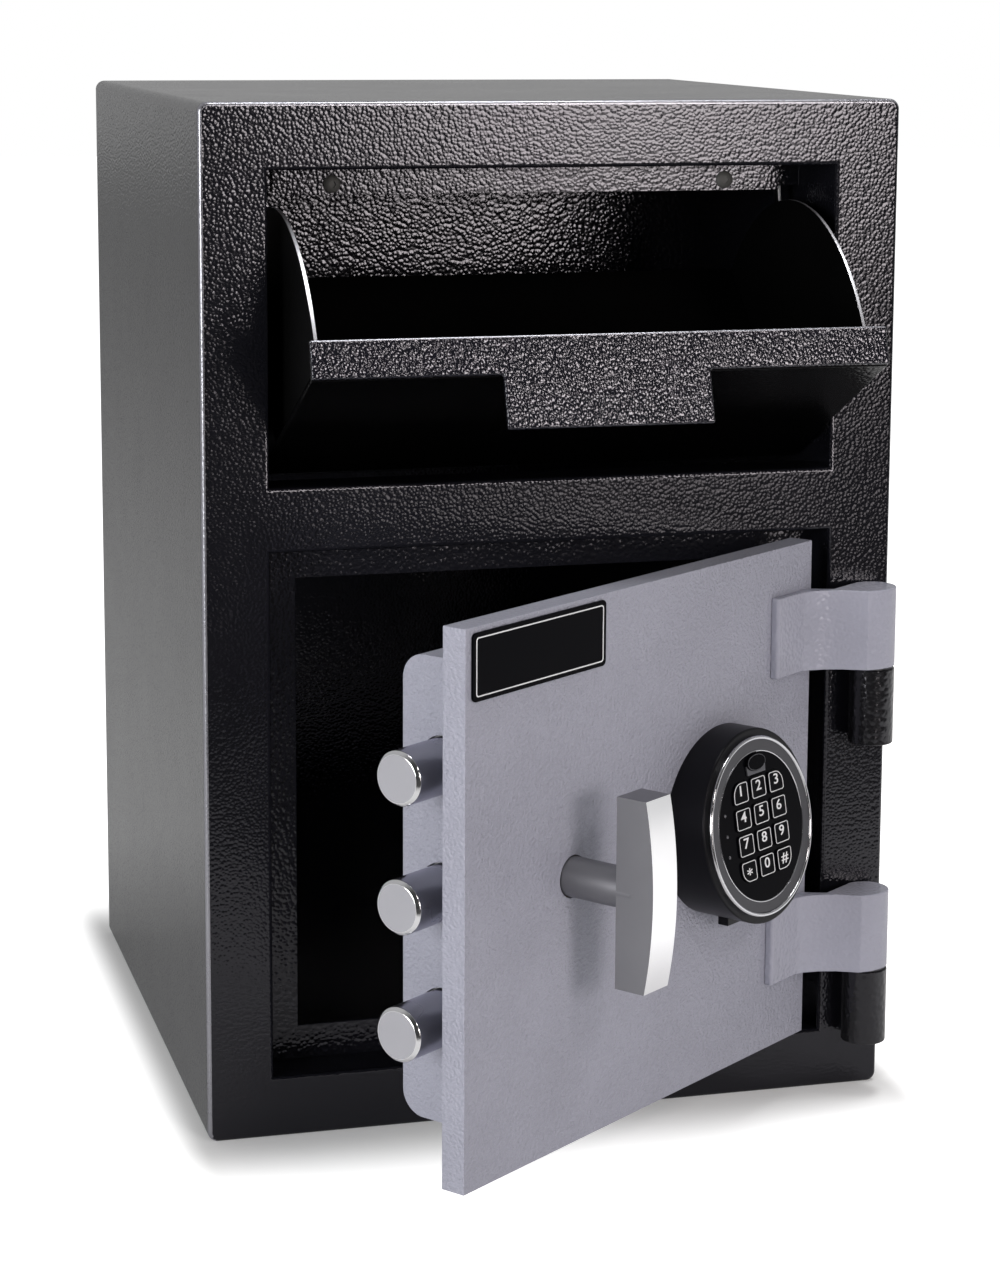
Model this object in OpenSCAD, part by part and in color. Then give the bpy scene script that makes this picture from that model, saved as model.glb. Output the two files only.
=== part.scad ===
// Deposit safe: a steel cabinet with a tilting drop hopper above and a keypad-locked door below.
// The origin is the centre of the base. X is right, Y is back and Z is up.
// It stands as photographed: hopper tipped open, door ajar, three bolts thrown.

/* [Cabinet] */
// Width over the sides
body_w = 355.6; // [348:0.1:400]
// Depth from the front face to the back
body_d = 355.6; // [330:0.1:450]
// Height over the top and base
body_h = 514.35; // [508:0.05:600]
// Sheet thickness of the sides, top and base
wall_t = 4.8; // [3:0.1:6]
// Sheet thickness of the back
back_t = 4.8; // [3:0.1:8]
// Sheet thickness of the front frame
face_t = 4.8; // [3:0.1:6]
// Rounding of the four long edges
edge_r = 5; // [1:0.5:8]
// Width of the hopper and door openings
opening_w = 289; // [286:0.5:296]
// Height of the frame bar below the door
bottom_bar = 31; // [28:0.5:36]
// Height of the door opening
door_opening_h = 265.6; // [260:0.1:268]
// Height of the frame bar between the openings
middle_bar = 31.9; // [28:0.1:34]
// Height of the hopper opening
hopper_opening_h = 153.3; // [150:0.1:158]
// Depth of the turned-in flanges round the openings
flange_d = 25; // [25:0.5:26]
// Thickness of the turned-in flanges
flange_t = 3; // [2:0.1:4]
// Width of the door stop behind the flanges
stop_w = 17.5; // [14:0.5:18]
// Thickness of the door stop
stop_t = 3.2; // [2:0.1:3.6]
// Diameter of the four anchor holes in the base
anchor_d = 13; // [8:0.5:18]
// Spacing of the anchor holes across the base
anchor_x = 220; // [160:5:240]
// Spacing of the anchor holes from front to back
anchor_y = 200; // [150:5:220]

/* [Hopper] */
// Angle that the hopper is tipped open
hopper_open = 63.5; // [55:0.5:66]
// Pivot's depth behind the front face
pivot_in = 34; // [33:0.5:36]
// Pivot's height above the lower edge of the opening
pivot_up = 16.5; // [16:0.5:19]
// Radius of the side plates
side_r = 117; // [110:0.5:118]
// Distance from the pivot to the outer face of the front panel
panel_out = 11; // [10:0.5:12]
// Distance from the pivot to the top of the panel
panel_up = 127; // [124:0.5:128]
// Distance from the pivot to the bottom of the panel
panel_down = 14; // [12:0.5:14]
// Thickness of the panel and lip
panel_t = 3; // [2:0.1:3.5]
// Gap between the panel and each side of the opening
panel_gap = 3.75; // [2:0.25:5]
// Reach of the lip behind the panel's face
lip_back = 18.5; // [14:0.5:19]
// Reach of the pull tab in front of the panel's face
tab_out = 25.8; // [20:0.1:30]
// Width of the pull tab
tab_w = 101; // [80:1:120]
// Rise of the lip towards the back
lip_rise = 8.5; // [6:0.5:9]
// Distance between the outer faces of the side plates
sides_w = 272; // [268:0.5:274]
// Thickness of the side plates and tray
side_t = 2; // [1.5:0.1:3]
// Slope of the tray below level when the panel is upright
tray_slope = 24.5; // [20:0.5:26]
// Diameter of the pivot pins
pivot_d = 8; // [6:0.5:10]
// Depth of the chute behind the front face
chute_d = 216; // [180:1:240]
// Thickness of the chute plates
chute_t = 3; // [2:0.1:4]
// Depth of the stop bar behind the front face
bar_in = 50; // [50:0.5:54]
// Length of the stop bar
bar_w = 265; // [240:1:280]
// Drop of the stop bar below the top of the opening
bar_drop = 15.4; // [12:0.1:15.8]
// Spacing of the two stop bar screws
bar_screws_x = 205.4; // [160:0.2:240]

/* [Door] */
// Angle that the door stands open
door_open = 37; // [20:1:90]
// Thickness of the door plate
door_t = 12.7; // [10:0.1:13]
// Gap all round the door plate
door_gap = 3.5; // [3.5:0.1:5]
// Depth of the door plate behind the front face
door_recess = 10; // [9:0.1:10.5]
// Distance of the hinge pins in front of the face
hinge_out = 12.5; // [12.5:0.1:14]
// Distance of the hinge pins in from the side of the cabinet
hinge_in = 13; // [12:0.1:14]
// Outside diameter of the hinge barrels
barrel_d = 23; // [20:0.5:24]
// Diameter of the hinge pins
pin_d = 10; // [8:0.5:12]
// Height of each strap barrel
strap_h = 41; // [36:0.5:44]
// Height of each knuckle on the cabinet
knuckle_h = 39; // [34:0.5:40]
// Height of the lower strap above the base
strap_low_z = 69; // [66:0.5:72]
// Spacing of the two hinges
hinge_pitch = 159; // [150:0.5:165]
// Thickness of the strap's leaf on the door
leaf_t = 4.5; // [3:0.1:6]
// Length of the leaf on the door plate
leaf_w = 37; // [30:0.5:42]
// Inset of the boltwork cover from the free edge
cover_side = 24; // [23:0.5:28]
// Inset of the cover from the bottom of the door
cover_low = 19.5; // [18:0.5:24]
// Height of the cover
cover_h = 218; // [210:0.5:219]
// Depth of the cover
cover_d = 42.3; // [41:0.1:43]
// Sheet thickness of the cover
cover_t = 2; // [1:0.1:2.5]
// Bend radius of the cover's rear edges
cover_r = 12; // [6:0.5:14]
// Width of the bare nameplate
name_w = 99; // [80:1:110]
// Height of the bare nameplate
name_h = 31; // [20:0.5:36]

/* [Boltwork] */
// Diameter of the three locking bolts
bolt_d = 25.4; // [22:0.1:25.6]
// Spacing of the bolts
bolt_pitch = 59; // [50:0.5:62]
// Distance of the bolts behind the door plate
bolt_back = 19; // [19:0.1:20]
// Reach of the thrown bolts past the edge of the door plate
bolt_past = 8.5; // [6:0.5:9]
// Travel of the bolts
bolt_travel = 23.5; // [20:0.5:24]
// Thickness of the sliding bolt bar
bar_t = 4; // [3:0.1:4.8]
// Diameter of the crank pin
crank_d = 8; // [6:0.5:9]
// Throw of the lock's own bolt
lock_throw = 9; // [6:0.5:10]

/* [Handle] */
// Distance of the handle from the door's free edge
handle_x = 80.5; // [79:0.5:84]
// Diameter of the handle shaft
shaft_d = 19; // [16:0.5:20]
// Length of the shaft in front of the door
shaft_out = 31; // [24:0.5:36]
// Height of the grip
grip_h = 90; // [70:1:104]
// Width of the grip
grip_w = 19; // [16:0.5:22]
// Thickness of the grip at its ends
grip_end_t = 16; // [12:0.5:18]
// Bow of the grip's front face
grip_bow = 4.5; // [2:0.5:8]

/* [Keypad] */
// Distance of the keypad from the door's free edge
keypad_x = 201; // [198:0.5:204]
// Diameter of the housing at the door
housing_d = 94; // [92:0.5:98]
// Depth of the housing at its middle
housing_mid = 23.5; // [23.5:0.5:27]
// Lean of the keypad's face
face_lean = 9; // [6:0.5:10]
// Outside diameter of the bright trim ring
trim_d = 88; // [86:0.5:90]
// Width of the bright trim ring
trim_w = 2; // [1.5:0.1:4]
// Width of the grey ring inside the trim
bezel_w = 5.5; // [5:0.5:7]
// Width of a key
key_w = 12.8; // [10:0.1:13.4]
// Height of a key
key_h = 10.6; // [9:0.1:10.8]
// Spacing of the keys across
key_pitch_x = 15.6; // [15:0.1:16]
// Spacing of the keys down
key_pitch_y = 12.8; // [12.2:0.1:13.2]
// Travel of a key
key_travel = 0.7; // [0.4:0.1:0.9]

/* [Hidden] */

$fn = 64;
// A step past a surface, so that a cut goes right through
past = 1;
// Radial clearance of a shaft that turns or slides in its bearing
running = 0.06;
// Gap between pieces that are fixed together but made apart
seat = 0.05;
// Gap between pieces that pass each other
pass_gap = 0.5;

// Cabinet
front_y = -body_d / 2;
door_open_z = bottom_bar;
door_open_top = door_open_z + door_opening_h;
hopper_open_z = door_open_top + middle_bar;
hopper_open_top = hopper_open_z + hopper_opening_h;
inner_w = body_w - 2 * wall_t;
ceiling_z = body_h - wall_t;
baffle_below = 14;
baffle_d = 62;
baffle_drop = 26;

// Hopper, measured with its panel upright
pivot_y = front_y + pivot_in;
pivot_z = hopper_open_z + pivot_up;
panel_w = opening_w - 2 * panel_gap;
panel_in = -panel_out + panel_t;
side_x = sides_w / 2;
tray_w = sides_w - 2 * side_t;
tray_start = 3.7;
tray_end = side_r * cos(tray_slope);
chute_wall_x = opening_w / 2;
chute_below = 20;
bush_d = pivot_d + 4;
bush_flange_d = -2 * panel_in - 1;
bush_in = side_x + pass_gap;
bush_out = chute_wall_x + chute_t + 1;
bar_z = hopper_open_top - bar_drop;
bar_strip_t = 3;
hanger_up = 2;
hanger_y = bar_in + bar_strip_t;
screw_d = 5;
bar_screw_head_d = 9;
bar_screw_head_t = 2.2;
bar_screw_up = 5.5;
bar_screw_past = 2;
lug_w = 5;
lug_root = 8;
lug_up = 2;
lug_gap = 0.15;

// Door, measured with the door shut
hinge_x = body_w / 2 - hinge_in;
hinge_y = front_y - hinge_out;
door_w = opening_w - 2 * door_gap;
door_h = door_opening_h - 2 * door_gap;
free_x = -door_w / 2;
door_z = door_open_z + door_gap;
mid_z = door_z + door_h / 2;
plate_y = front_y + door_recess;
inside_y = plate_y + door_t;
washer_t = 1;
washer_gap = 0.1;
washer_z = strap_low_z - washer_t - washer_gap;
knuckle_z = washer_z - washer_gap - knuckle_h;
knuckle_foot = 14;
strap_bore = strap_h - 8;
pin_end_gap = 1;
leaf_x = -free_x - leaf_w;
leaf_y = plate_y - leaf_t;
cover_x = free_x + cover_side;
cover_w = door_w - 2 * cover_side;
cover_z = door_z + cover_low;
cover_y = inside_y + cover_d;
cover_hole_gap = 0.8;
post_d = 8;
post_in_x = 8;
post_past = 16;
post_hole_deep = 12;
cover_screw_len = 10;
cover_screw_head_d = 8;
cover_screw_head_t = 1.8;
name_in = 4;
name_below = 2.5;
name_t = 1.2;

// Crank, with the bolts thrown: its pin stands 45 degrees up from the shaft, on the bolts' side
spindle_x = free_x + handle_x;
crank_r = bolt_travel / sqrt(2);
crank_x = spindle_x - bolt_travel / 2;
crank_z = mid_z + bolt_travel / 2;
crank_play = 0.65;
crank_slot_w = crank_d + 2 * crank_play;
crank_boss_d = crank_d + 6;
crank_arm_w = crank_boss_d - 3;
cam_gap = 0.5;
cam_t = 5;
cam_y = inside_y + cam_gap + seat;
cam_hub_d = 24;
spigot_d = shaft_d - 6;

// Sliding bolt bar and the bolts on it
bar_back = 8.5;
bar_y = inside_y + bar_back;
bar_edge = 2.6;
bar_past = 17;
bar_web_h = 60;
bar_web_past = 12;
bar_web_end = spindle_x + shaft_d / 2 + bar_web_past;
tip_x = free_x - bolt_past;
bolt_end_x = crank_x - crank_slot_w / 2 - bar_edge - bar_t;
bolt_y = inside_y + bolt_back;
bolt_nose = 1.5;
bolt_zs = [mid_z + bolt_pitch, mid_z, mid_z - bolt_pitch];
bolt_hole_deep = 14;
bolt_screw_len = 12;
bolt_screw_d = 6;
bolt_screw_head_d = 11;
bolt_screw_head_t = 3;
guide_t = 5;
guide_rim = 9;
guide_back = 4;
guide_x = cover_x + cover_t + 1.5;
guide_h = 2 * bolt_pitch + bolt_d + 2 * guide_rim;
post_xs = [cover_x + cover_t + guide_t + post_in_x, cover_x + cover_w - cover_t - post_in_x];
post_zs = [bolt_zs[2] - bolt_d / 2 - post_past, bolt_zs[0] + bolt_d / 2 + post_past];

// Lock, between the keypad and the boltwork
pad_up = 2;
lock_w = 61;
lock_h = 85;
lock_t = 24;
lock_base_t = 3;
lock_rim = 4;
lock_hole_in = 7;
lock_screw_head_d = 9;
lock_screw_head_t = 3;
pad_x = free_x + keypad_x;
pad_z = mid_z + pad_up;
lock_low_z = mid_z - lock_h / 2;
lock_bolt_w = 20;
lock_bolt_t = 8;
lock_bolt_h = lock_throw + 15;
lock_slot_h = lock_bolt_h + 6;
lock_bolt_y = bar_y + bar_t / 2;
arm_gap = lock_throw / 3;
arm_h = 22;
arm_end_gap = 1;
arm_z = lock_low_z - arm_gap - arm_h;
cable_d = 4;
cable_x = pad_x - 22;
cable_in = 6;

// Handle
grip_y = plate_y - shaft_out;
grip_root = 8;
bush_out_d = shaft_d + 6;
bush_recess = 3;

// Keypad, in a frame whose Z comes out of the leaning face
trim_r = trim_d / 2;
bezel_r = trim_r - trim_w;
face_r = bezel_r - bezel_w;
housing_wall = 3;
front_wall = 2;
window_rim = 3;
trim_t = 2.4;
bezel_t = 1.6;
face_disc_t = 1.4;
key_proud = 0.9;
key_gap = 0.25;
key_corner = 1.6;
key_round = 7;
key_foot_d = 5;
key_foot_gap = 0.3;
key_foot_h = front_wall - key_travel - key_foot_gap;
board_t = 1.2;
board_w = 50;
board_h = 56;
battery_w = 26.5;
battery_t = 17.5;
battery_h = 48.5;
drawer_wall = 1;
drawer_gap = 0.4;
drawer_w = battery_w + 2 * drawer_wall + 1;
drawer_d = battery_t + drawer_wall + 2 * seat;
drawer_h = battery_h + 2 * drawer_wall + 0.5;
drawer_y = plate_y - drawer_gap - drawer_d;
drawer_z = pad_z - housing_d / 2 + housing_wall;
pull_w = 23;
pull_in = 5;
pull_low = 3;
pull_t = 6;

// Height of the tray's upper face at a depth behind the pivot
function tray_line(y) = tray_start + (panel_in - y) * tan(tray_slope);

// Column and row of a key, counted from the middle of the pad
function key_col(i) = (i % 3) - 1;
function key_row(i) = 1.5 - floor(i / 3);

// Turns what is drawn with the door shut to where the door stands open
module on_door() {
    translate([hinge_x, hinge_y, 0])
        rotate([0, 0, door_open])
            translate([-hinge_x, -hinge_y, 0])
                children();
}

// Tips what is drawn round the hopper's pivot with the panel upright
module on_hopper() {
    translate([0, pivot_y, pivot_z])
        rotate([hopper_open, 0, 0])
            children();
}

// Stands what is drawn flat, with its Z out of the front, on the keypad's leaning face
module on_keypad() {
    on_door()
        translate([pad_x, plate_y - housing_mid, pad_z])
            rotate([90 - face_lean, 0, 0])
                children();
}

// A bar along X whose outline is given as (depth, height)
module along_x(from, to) {
    translate([from, 0, 0])
        rotate([90, 0, 90])
            linear_extrude(to - from)
                children();
}

// A plate in the X-Z plane whose front is at y
module upright(y, t) {
    translate([0, y + t, 0])
        rotate([90, 0, 0])
            linear_extrude(t)
                children();
}

// A rod along Y from y to y + len
module rod_y(x, y, z, d, len) {
    translate([x, y, z])
        rotate([-90, 0, 0])
            cylinder(d = d, h = len);
}

// A rod along X from x to x + len
module rod_x(x, y, z, d, len) {
    translate([x, y, z])
        rotate([0, 90, 0])
            cylinder(d = d, h = len);
}

// A rectangle centred on X with its lower edge at z
module face_rect(w, z, h) {
    translate([-w / 2, z])
        square([w, h]);
}

// The cabinet's outline seen from the front
module cabinet_outline() {
    translate([-body_w / 2 + edge_r, edge_r])
        square([body_w - 2 * edge_r, body_h - 2 * edge_r]);
    translate([-body_w / 2, edge_r])
        square([edge_r, body_h - 2 * edge_r]);
    translate([body_w / 2 - edge_r, edge_r])
        square([edge_r, body_h - 2 * edge_r]);
    translate([-body_w / 2 + edge_r, 0])
        square([body_w - 2 * edge_r, edge_r]);
    translate([-body_w / 2 + edge_r, body_h - edge_r])
        square([body_w - 2 * edge_r, edge_r]);
    for (x = [-1, 1], z = [edge_r, body_h - edge_r])
        translate([x * (body_w / 2 - edge_r), z])
            circle(edge_r);
}

// The two openings in the front, grown by g
module openings(g) {
    face_rect(opening_w + 2 * g, door_open_z - g, door_opening_h + 2 * g);
    face_rect(opening_w + 2 * g, hopper_open_z - g, hopper_opening_h + 2 * g);
}

// Folded sheet that makes the sides, top and base, with the anchor holes
module cabinet_shell() {
    color([0.16, 0.16, 0.17])
        difference() {
            upright(front_y + face_t, body_d - face_t - back_t)
                difference() {
                    cabinet_outline();
                    face_rect(inner_w, wall_t, body_h - 2 * wall_t);
                }
            for (x = [-1, 1], y = [-1, 1])
                translate([x * anchor_x / 2, y * anchor_y / 2, -past])
                    cylinder(d = anchor_d, h = wall_t + 2 * past);
        }
}

// Flat plate that closes the back
module back_plate() {
    color([0.16, 0.16, 0.17])
        upright(body_d / 2 - back_t, back_t)
            cabinet_outline();
}

// Front plate with a turned-in flange round each opening
module front_frame() {
    color([0.12, 0.12, 0.13]) {
        upright(front_y, face_t)
            difference() {
                cabinet_outline();
                openings(0);
            }
        upright(front_y + face_t, flange_d - face_t)
            difference() {
                openings(flange_t);
                openings(0);
            }
    }
}

// Frame behind the door opening that the door shuts towards and the bolts catch behind
module door_stop_frame() {
    color([0.12, 0.12, 0.13])
        upright(front_y + flange_d, stop_t)
            difference() {
                face_rect(opening_w + 2 * flange_t, door_open_z - flange_t,
                          door_opening_h + 2 * flange_t);
                face_rect(opening_w - 2 * stop_w, door_open_z + stop_w, door_opening_h - 2 * stop_w);
            }
}

// Plates behind the hopper that guide a deposit down, with a hanger for the stop bar
module hopper_chute() {
    chute_low = hopper_open_z - flange_t;
    back_low = pivot_z - chute_below;
    color([0.14, 0.14, 0.15])
        difference() {
            union() {
                for (s = [0, 1])
                    mirror([s, 0, 0])
                        translate([chute_wall_x, front_y + flange_d, chute_low])
                            cube([chute_t, chute_d - flange_d, ceiling_z - chute_low]);
                translate([-chute_wall_x, front_y + chute_d - chute_t, back_low])
                    cube([2 * chute_wall_x, chute_t, ceiling_z - back_low]);
                translate([-chute_wall_x, front_y + hanger_y, bar_z + hanger_up])
                    cube([2 * chute_wall_x, chute_t, ceiling_z - bar_z - hanger_up]);
            }
            for (s = [0, 1])
                mirror([s, 0, 0])
                    rod_x(chute_wall_x - past, pivot_y, pivot_z, bush_d + 2 * seat, chute_t + 2 * past);
            for (s = [-1, 1])
                rod_y(s * bar_screws_x / 2, front_y + hanger_y - past, bar_z + bar_screw_up,
                      screw_d + 2 * seat, chute_t + 2 * past);
        }
}

// Bent shelf on the back wall that keeps a hand from reaching what has dropped
module deposit_baffle() {
    shelf_z = hopper_open_z - baffle_below;
    back_in = body_d / 2 - back_t;
    edge_y = back_in - baffle_d;
    color([0.14, 0.14, 0.15])
        along_x(-inner_w / 2, inner_w / 2)
            polygon([
                [back_in, shelf_z], [edge_y, shelf_z],
                [edge_y, shelf_z - baffle_drop], [edge_y + chute_t, shelf_z - baffle_drop],
                [edge_y + chute_t, shelf_z - chute_t], [back_in, shelf_z - chute_t]
            ]);
}

// Strip under the ceiling that the hopper's lip shuts against
module hopper_stop_bar() {
    color([0.12, 0.12, 0.13])
        difference() {
            upright(front_y + bar_in, bar_strip_t)
                face_rect(bar_w, bar_z, ceiling_z - bar_z);
            for (s = [-1, 1])
                rod_y(s * bar_screws_x / 2, front_y + bar_in - past, bar_z + bar_screw_up,
                      screw_d + 2 * seat, bar_strip_t + 2 * past);
        }
}

// Two domed screws that hold the stop bar to its hanger
module stop_bar_screws() {
    color([0.1, 0.1, 0.11])
        for (s = [-1, 1]) {
            rod_y(s * bar_screws_x / 2, front_y + bar_in - bar_screw_head_t, bar_z + bar_screw_up,
                  bar_screw_head_d, bar_screw_head_t);
            rod_y(s * bar_screws_x / 2, front_y + bar_in, bar_z + bar_screw_up,
                  screw_d, bar_strip_t + chute_t + bar_screw_past);
        }
}

// Flanged bushes in the chute walls for the hopper's pins
module hopper_bushes() {
    color([0.75, 0.7, 0.55])
        for (s = [0, 1])
            mirror([s, 0, 0])
                difference() {
                    union() {
                        rod_x(bush_in, pivot_y, pivot_z, bush_flange_d, chute_wall_x - bush_in);
                        rod_x(bush_in, pivot_y, pivot_z, bush_d, bush_out - bush_in);
                    }
                    rod_x(bush_in - past, pivot_y, pivot_z, pivot_d + 2 * running,
                          bush_out - bush_in + 2 * past);
                }
}

// Fixed lower halves of the two hinges, welded to the face
module hinge_knuckles() {
    color([0.1, 0.1, 0.11])
        for (i = [0, 1])
            translate([hinge_x, hinge_y, knuckle_z + i * hinge_pitch])
                difference() {
                    union() {
                        cylinder(d = barrel_d, h = knuckle_h);
                        translate([-knuckle_foot / 2, 0, 0])
                            cube([knuckle_foot, hinge_out, knuckle_h]);
                    }
                    translate([0, 0, -past])
                        cylinder(d = pin_d + 2 * seat, h = knuckle_h + 2 * past);
                }
}

// Hinge pins, fixed in the knuckles and running in the straps
module hinge_pins() {
    color([0.6, 0.6, 0.62])
        for (i = [0, 1])
            translate([hinge_x, hinge_y, knuckle_z + i * hinge_pitch])
                cylinder(d = pin_d, h = strap_low_z - knuckle_z + strap_bore - pin_end_gap);
}

// Bearing washers between the knuckles and the straps
module hinge_washers() {
    color([0.7, 0.6, 0.35])
        for (i = [0, 1])
            translate([hinge_x, hinge_y, washer_z + i * hinge_pitch])
                difference() {
                    cylinder(d = barrel_d - 2, h = washer_t);
                    translate([0, 0, -past])
                        cylinder(d = pin_d + 2 * seat, h = washer_t + 2 * past);
                }
}

// Front panel of the hopper
module hopper_panel() {
    front_top = panel_up - panel_t / cos(lip_rise);
    color([0.08, 0.08, 0.09])
        on_hopper()
            along_x(-panel_w / 2, panel_w / 2)
                polygon([
                    [-panel_out, -panel_down], [panel_in, -panel_down],
                    [panel_in, front_top + panel_t * tan(lip_rise)], [-panel_out, front_top]
                ]);
}

// Lip along the top of the panel with the pull tab at its middle
module hopper_lip() {
    color([0.15, 0.15, 0.17])
        on_hopper()
            translate([0, -panel_out, panel_up])
                rotate([lip_rise, 0, 0])
                    translate([0, 0, -panel_t])
                        linear_extrude(panel_t) {
                            translate([-panel_w / 2, 0])
                                square([panel_w, lip_back]);
                            translate([-tab_w / 2, -tab_out])
                                square([tab_w, tab_out]);
                        }
}

// Outline of a side plate as (depth, height) round the pivot, with its lug that meets the hanger
module side_outline() {
    far = 2 * side_r;
    under = side_t / cos(tray_slope) + seat;
    hanger_back = hanger_y + chute_t - pivot_in;
    hanger_low = bar_z + hanger_up - pivot_z;
    lug_from = atan2(hanger_low, hanger_back) - hopper_open - lug_gap;
    difference() {
        union() {
            intersection() {
                circle(side_r, $fn = 128);
                polygon([
                    [panel_in, far], [panel_in, -panel_down], [-panel_in, -panel_down],
                    [far, tray_line(far) - under], [far, far]
                ]);
            }
            rotate([0, 0, lug_from])
                translate([side_r - lug_root, -lug_w])
                    square([norm([hanger_back, hanger_low]) + lug_up - side_r + lug_root, lug_w]);
        }
        circle(d = pivot_d + 2 * seat);
    }
}

// Side plates of the hopper
module hopper_side_left() {
    color([0.1, 0.1, 0.11])
        on_hopper()
            along_x(-side_x, -side_x + side_t)
                side_outline();
}

module hopper_side_right() {
    color([0.1, 0.1, 0.11])
        on_hopper()
            along_x(side_x - side_t, side_x)
                side_outline();
}

// Sloping tray that holds a deposit and shields the inside while the hopper is open
module hopper_tray() {
    drop = side_t / cos(tray_slope);
    color([0.1, 0.1, 0.11])
        on_hopper()
            along_x(-tray_w / 2 + seat, tray_w / 2 - seat)
                polygon([
                    [panel_in, tray_line(panel_in)], [tray_end, tray_line(tray_end)],
                    [tray_end, tray_line(tray_end) - drop], [panel_in, tray_line(panel_in) - drop]
                ]);
}

// Pins, fixed in the side plates and turning in the bushes
module hopper_pivot_pins() {
    pin_in = side_x - side_t;
    color([0.6, 0.6, 0.62])
        on_hopper()
            for (s = [0, 1])
                mirror([s, 0, 0])
                    rod_x(pin_in, 0, 0, pivot_d, bush_out - pin_in);
}

// Thick door plate with holes for the handle bush and the lock cable
module door_plate() {
    color([0.58, 0.58, 0.63])
        on_door()
            difference() {
                upright(plate_y, door_t)
                    face_rect(door_w, door_z, door_h);
                rod_y(spindle_x, plate_y - past, mid_z, shaft_d + 2 * pass_gap, door_t);
                rod_y(spindle_x, plate_y + bush_recess, mid_z, bush_out_d + 2 * seat, door_t);
                rod_y(cable_x, plate_y - past, pad_z, cable_d + 2, door_t + 2 * past);
            }
}

// Outline of a hinge strap from above, wrapping the barrel and stepping back on to the door
module strap_outline() {
    r = barrel_d / 2;
    translate([hinge_x, hinge_y])
        circle(r);
    polygon([
        [leaf_x, plate_y], [leaf_x, leaf_y + 1], [leaf_x + 1, leaf_y],
        [-free_x - 15, leaf_y],
        [-free_x - 9, leaf_y - 1.6],
        [-free_x - 3, leaf_y - 6.2],
        [-free_x + 3, leaf_y - 13],
        [-free_x + 9, hinge_y - r + 5.2],
        [-free_x + 15, hinge_y - r + 1.8],
        [hinge_x - 3, hinge_y - r + 0.2],
        [hinge_x, hinge_y - r],
        [hinge_x, front_y - 1],
        [opening_w / 2, front_y - 1],
        [-free_x - 0.5, plate_y - 6],
        [-free_x - 3, plate_y - 1.5],
        [-free_x - 5, plate_y]
    ]);
}

// One hinge strap with a blind bore for the pin
module strap(z) {
    on_door()
        difference() {
            translate([0, 0, z])
                linear_extrude(strap_h)
                    strap_outline();
            translate([hinge_x, hinge_y, z - past])
                cylinder(d = pin_d + 2 * running, h = strap_bore + past);
        }
}

module upper_hinge_strap() {
    color([0.58, 0.58, 0.63])
        strap(strap_low_z + hinge_pitch);
}

module lower_hinge_strap() {
    color([0.58, 0.58, 0.63])
        strap(strap_low_z);
}

// Outline of the cover as (depth, height), drawn in by g and carried on to the front by before
module cover_outline(g, before) {
    front = inside_y - before;
    intersection() {
        translate([front, cover_z + g])
            square([cover_y - g - front, cover_h - 2 * g]);
        union() {
            translate([front, cover_z + cover_r])
                square([cover_y - g - front, cover_h - 2 * cover_r]);
            translate([front, cover_z])
                square([cover_y - cover_r - front, cover_h]);
            for (z = [cover_z + cover_r, cover_z + cover_h - cover_r])
                translate([cover_y - cover_r, z])
                    circle(cover_r - g);
        }
    }
}

// Folded cover over the boltwork: bent top, back and bottom, flat ends, open to the door
module boltwork_cover() {
    color([0.58, 0.58, 0.63])
        on_door()
            difference() {
                along_x(cover_x, cover_x + cover_w)
                    cover_outline(0, 0);
                along_x(cover_x + cover_t, cover_x + cover_w - cover_t)
                    cover_outline(cover_t, past);
                for (z = bolt_zs)
                    rod_x(cover_x - past, bolt_y, z, bolt_d + 2 * cover_hole_gap, cover_t + 2 * past);
                for (x = post_xs, z = post_zs)
                    rod_y(x, cover_y - cover_t - past, z, screw_d + 2 * seat, cover_t + 2 * past);
            }
}

// Four posts on the back of the door plate that carry the cover
module cover_posts() {
    color([0.6, 0.6, 0.62])
        on_door()
            for (x = post_xs, z = post_zs)
                difference() {
                    rod_y(x, inside_y, z, post_d, cover_d - cover_t);
                    rod_y(x, cover_y - cover_t - post_hole_deep, z, screw_d + 2 * seat,
                          post_hole_deep + past);
                }
}

// Four cover screws
module cover_screws() {
    color([0.62, 0.62, 0.66])
        on_door()
            for (x = post_xs, z = post_zs) {
                rod_y(x, cover_y, z, cover_screw_head_d, cover_screw_head_t);
                rod_y(x, cover_y - cover_t - cover_screw_len, z, screw_d, cover_screw_len + cover_t);
            }
}

// Bare plate in the nameplate's place
module nameplate() {
    color([0.05, 0.05, 0.06])
        on_door()
            upright(plate_y - name_t, name_t)
                translate([free_x + name_in, door_z + door_h - name_below - name_h])
                    square([name_w, name_h]);
}

// Drill-resisting plate between the door and the lock
module hard_plate() {
    color([0.35, 0.35, 0.38])
        on_door()
            difference() {
                upright(inside_y, lock_base_t)
                    translate([pad_x, 0])
                        face_rect(lock_w + 2 * lock_rim, lock_low_z - lock_rim, lock_h + 2 * lock_rim);
                rod_y(cable_x, inside_y - past, pad_z, cable_d + 2, lock_base_t + 2 * past);
                lock_rods(screw_d + 2 * seat, inside_y - past, lock_base_t + 2 * past);
            }
}

// Four rods where the lock's fixing screws go
module lock_rods(d, y, len) {
    for (x = [-1, 1], z = [-1, 1])
        rod_y(pad_x + x * (lock_w / 2 - lock_hole_in), y, mid_z + z * (lock_h / 2 - lock_hole_in), d, len);
}

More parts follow.
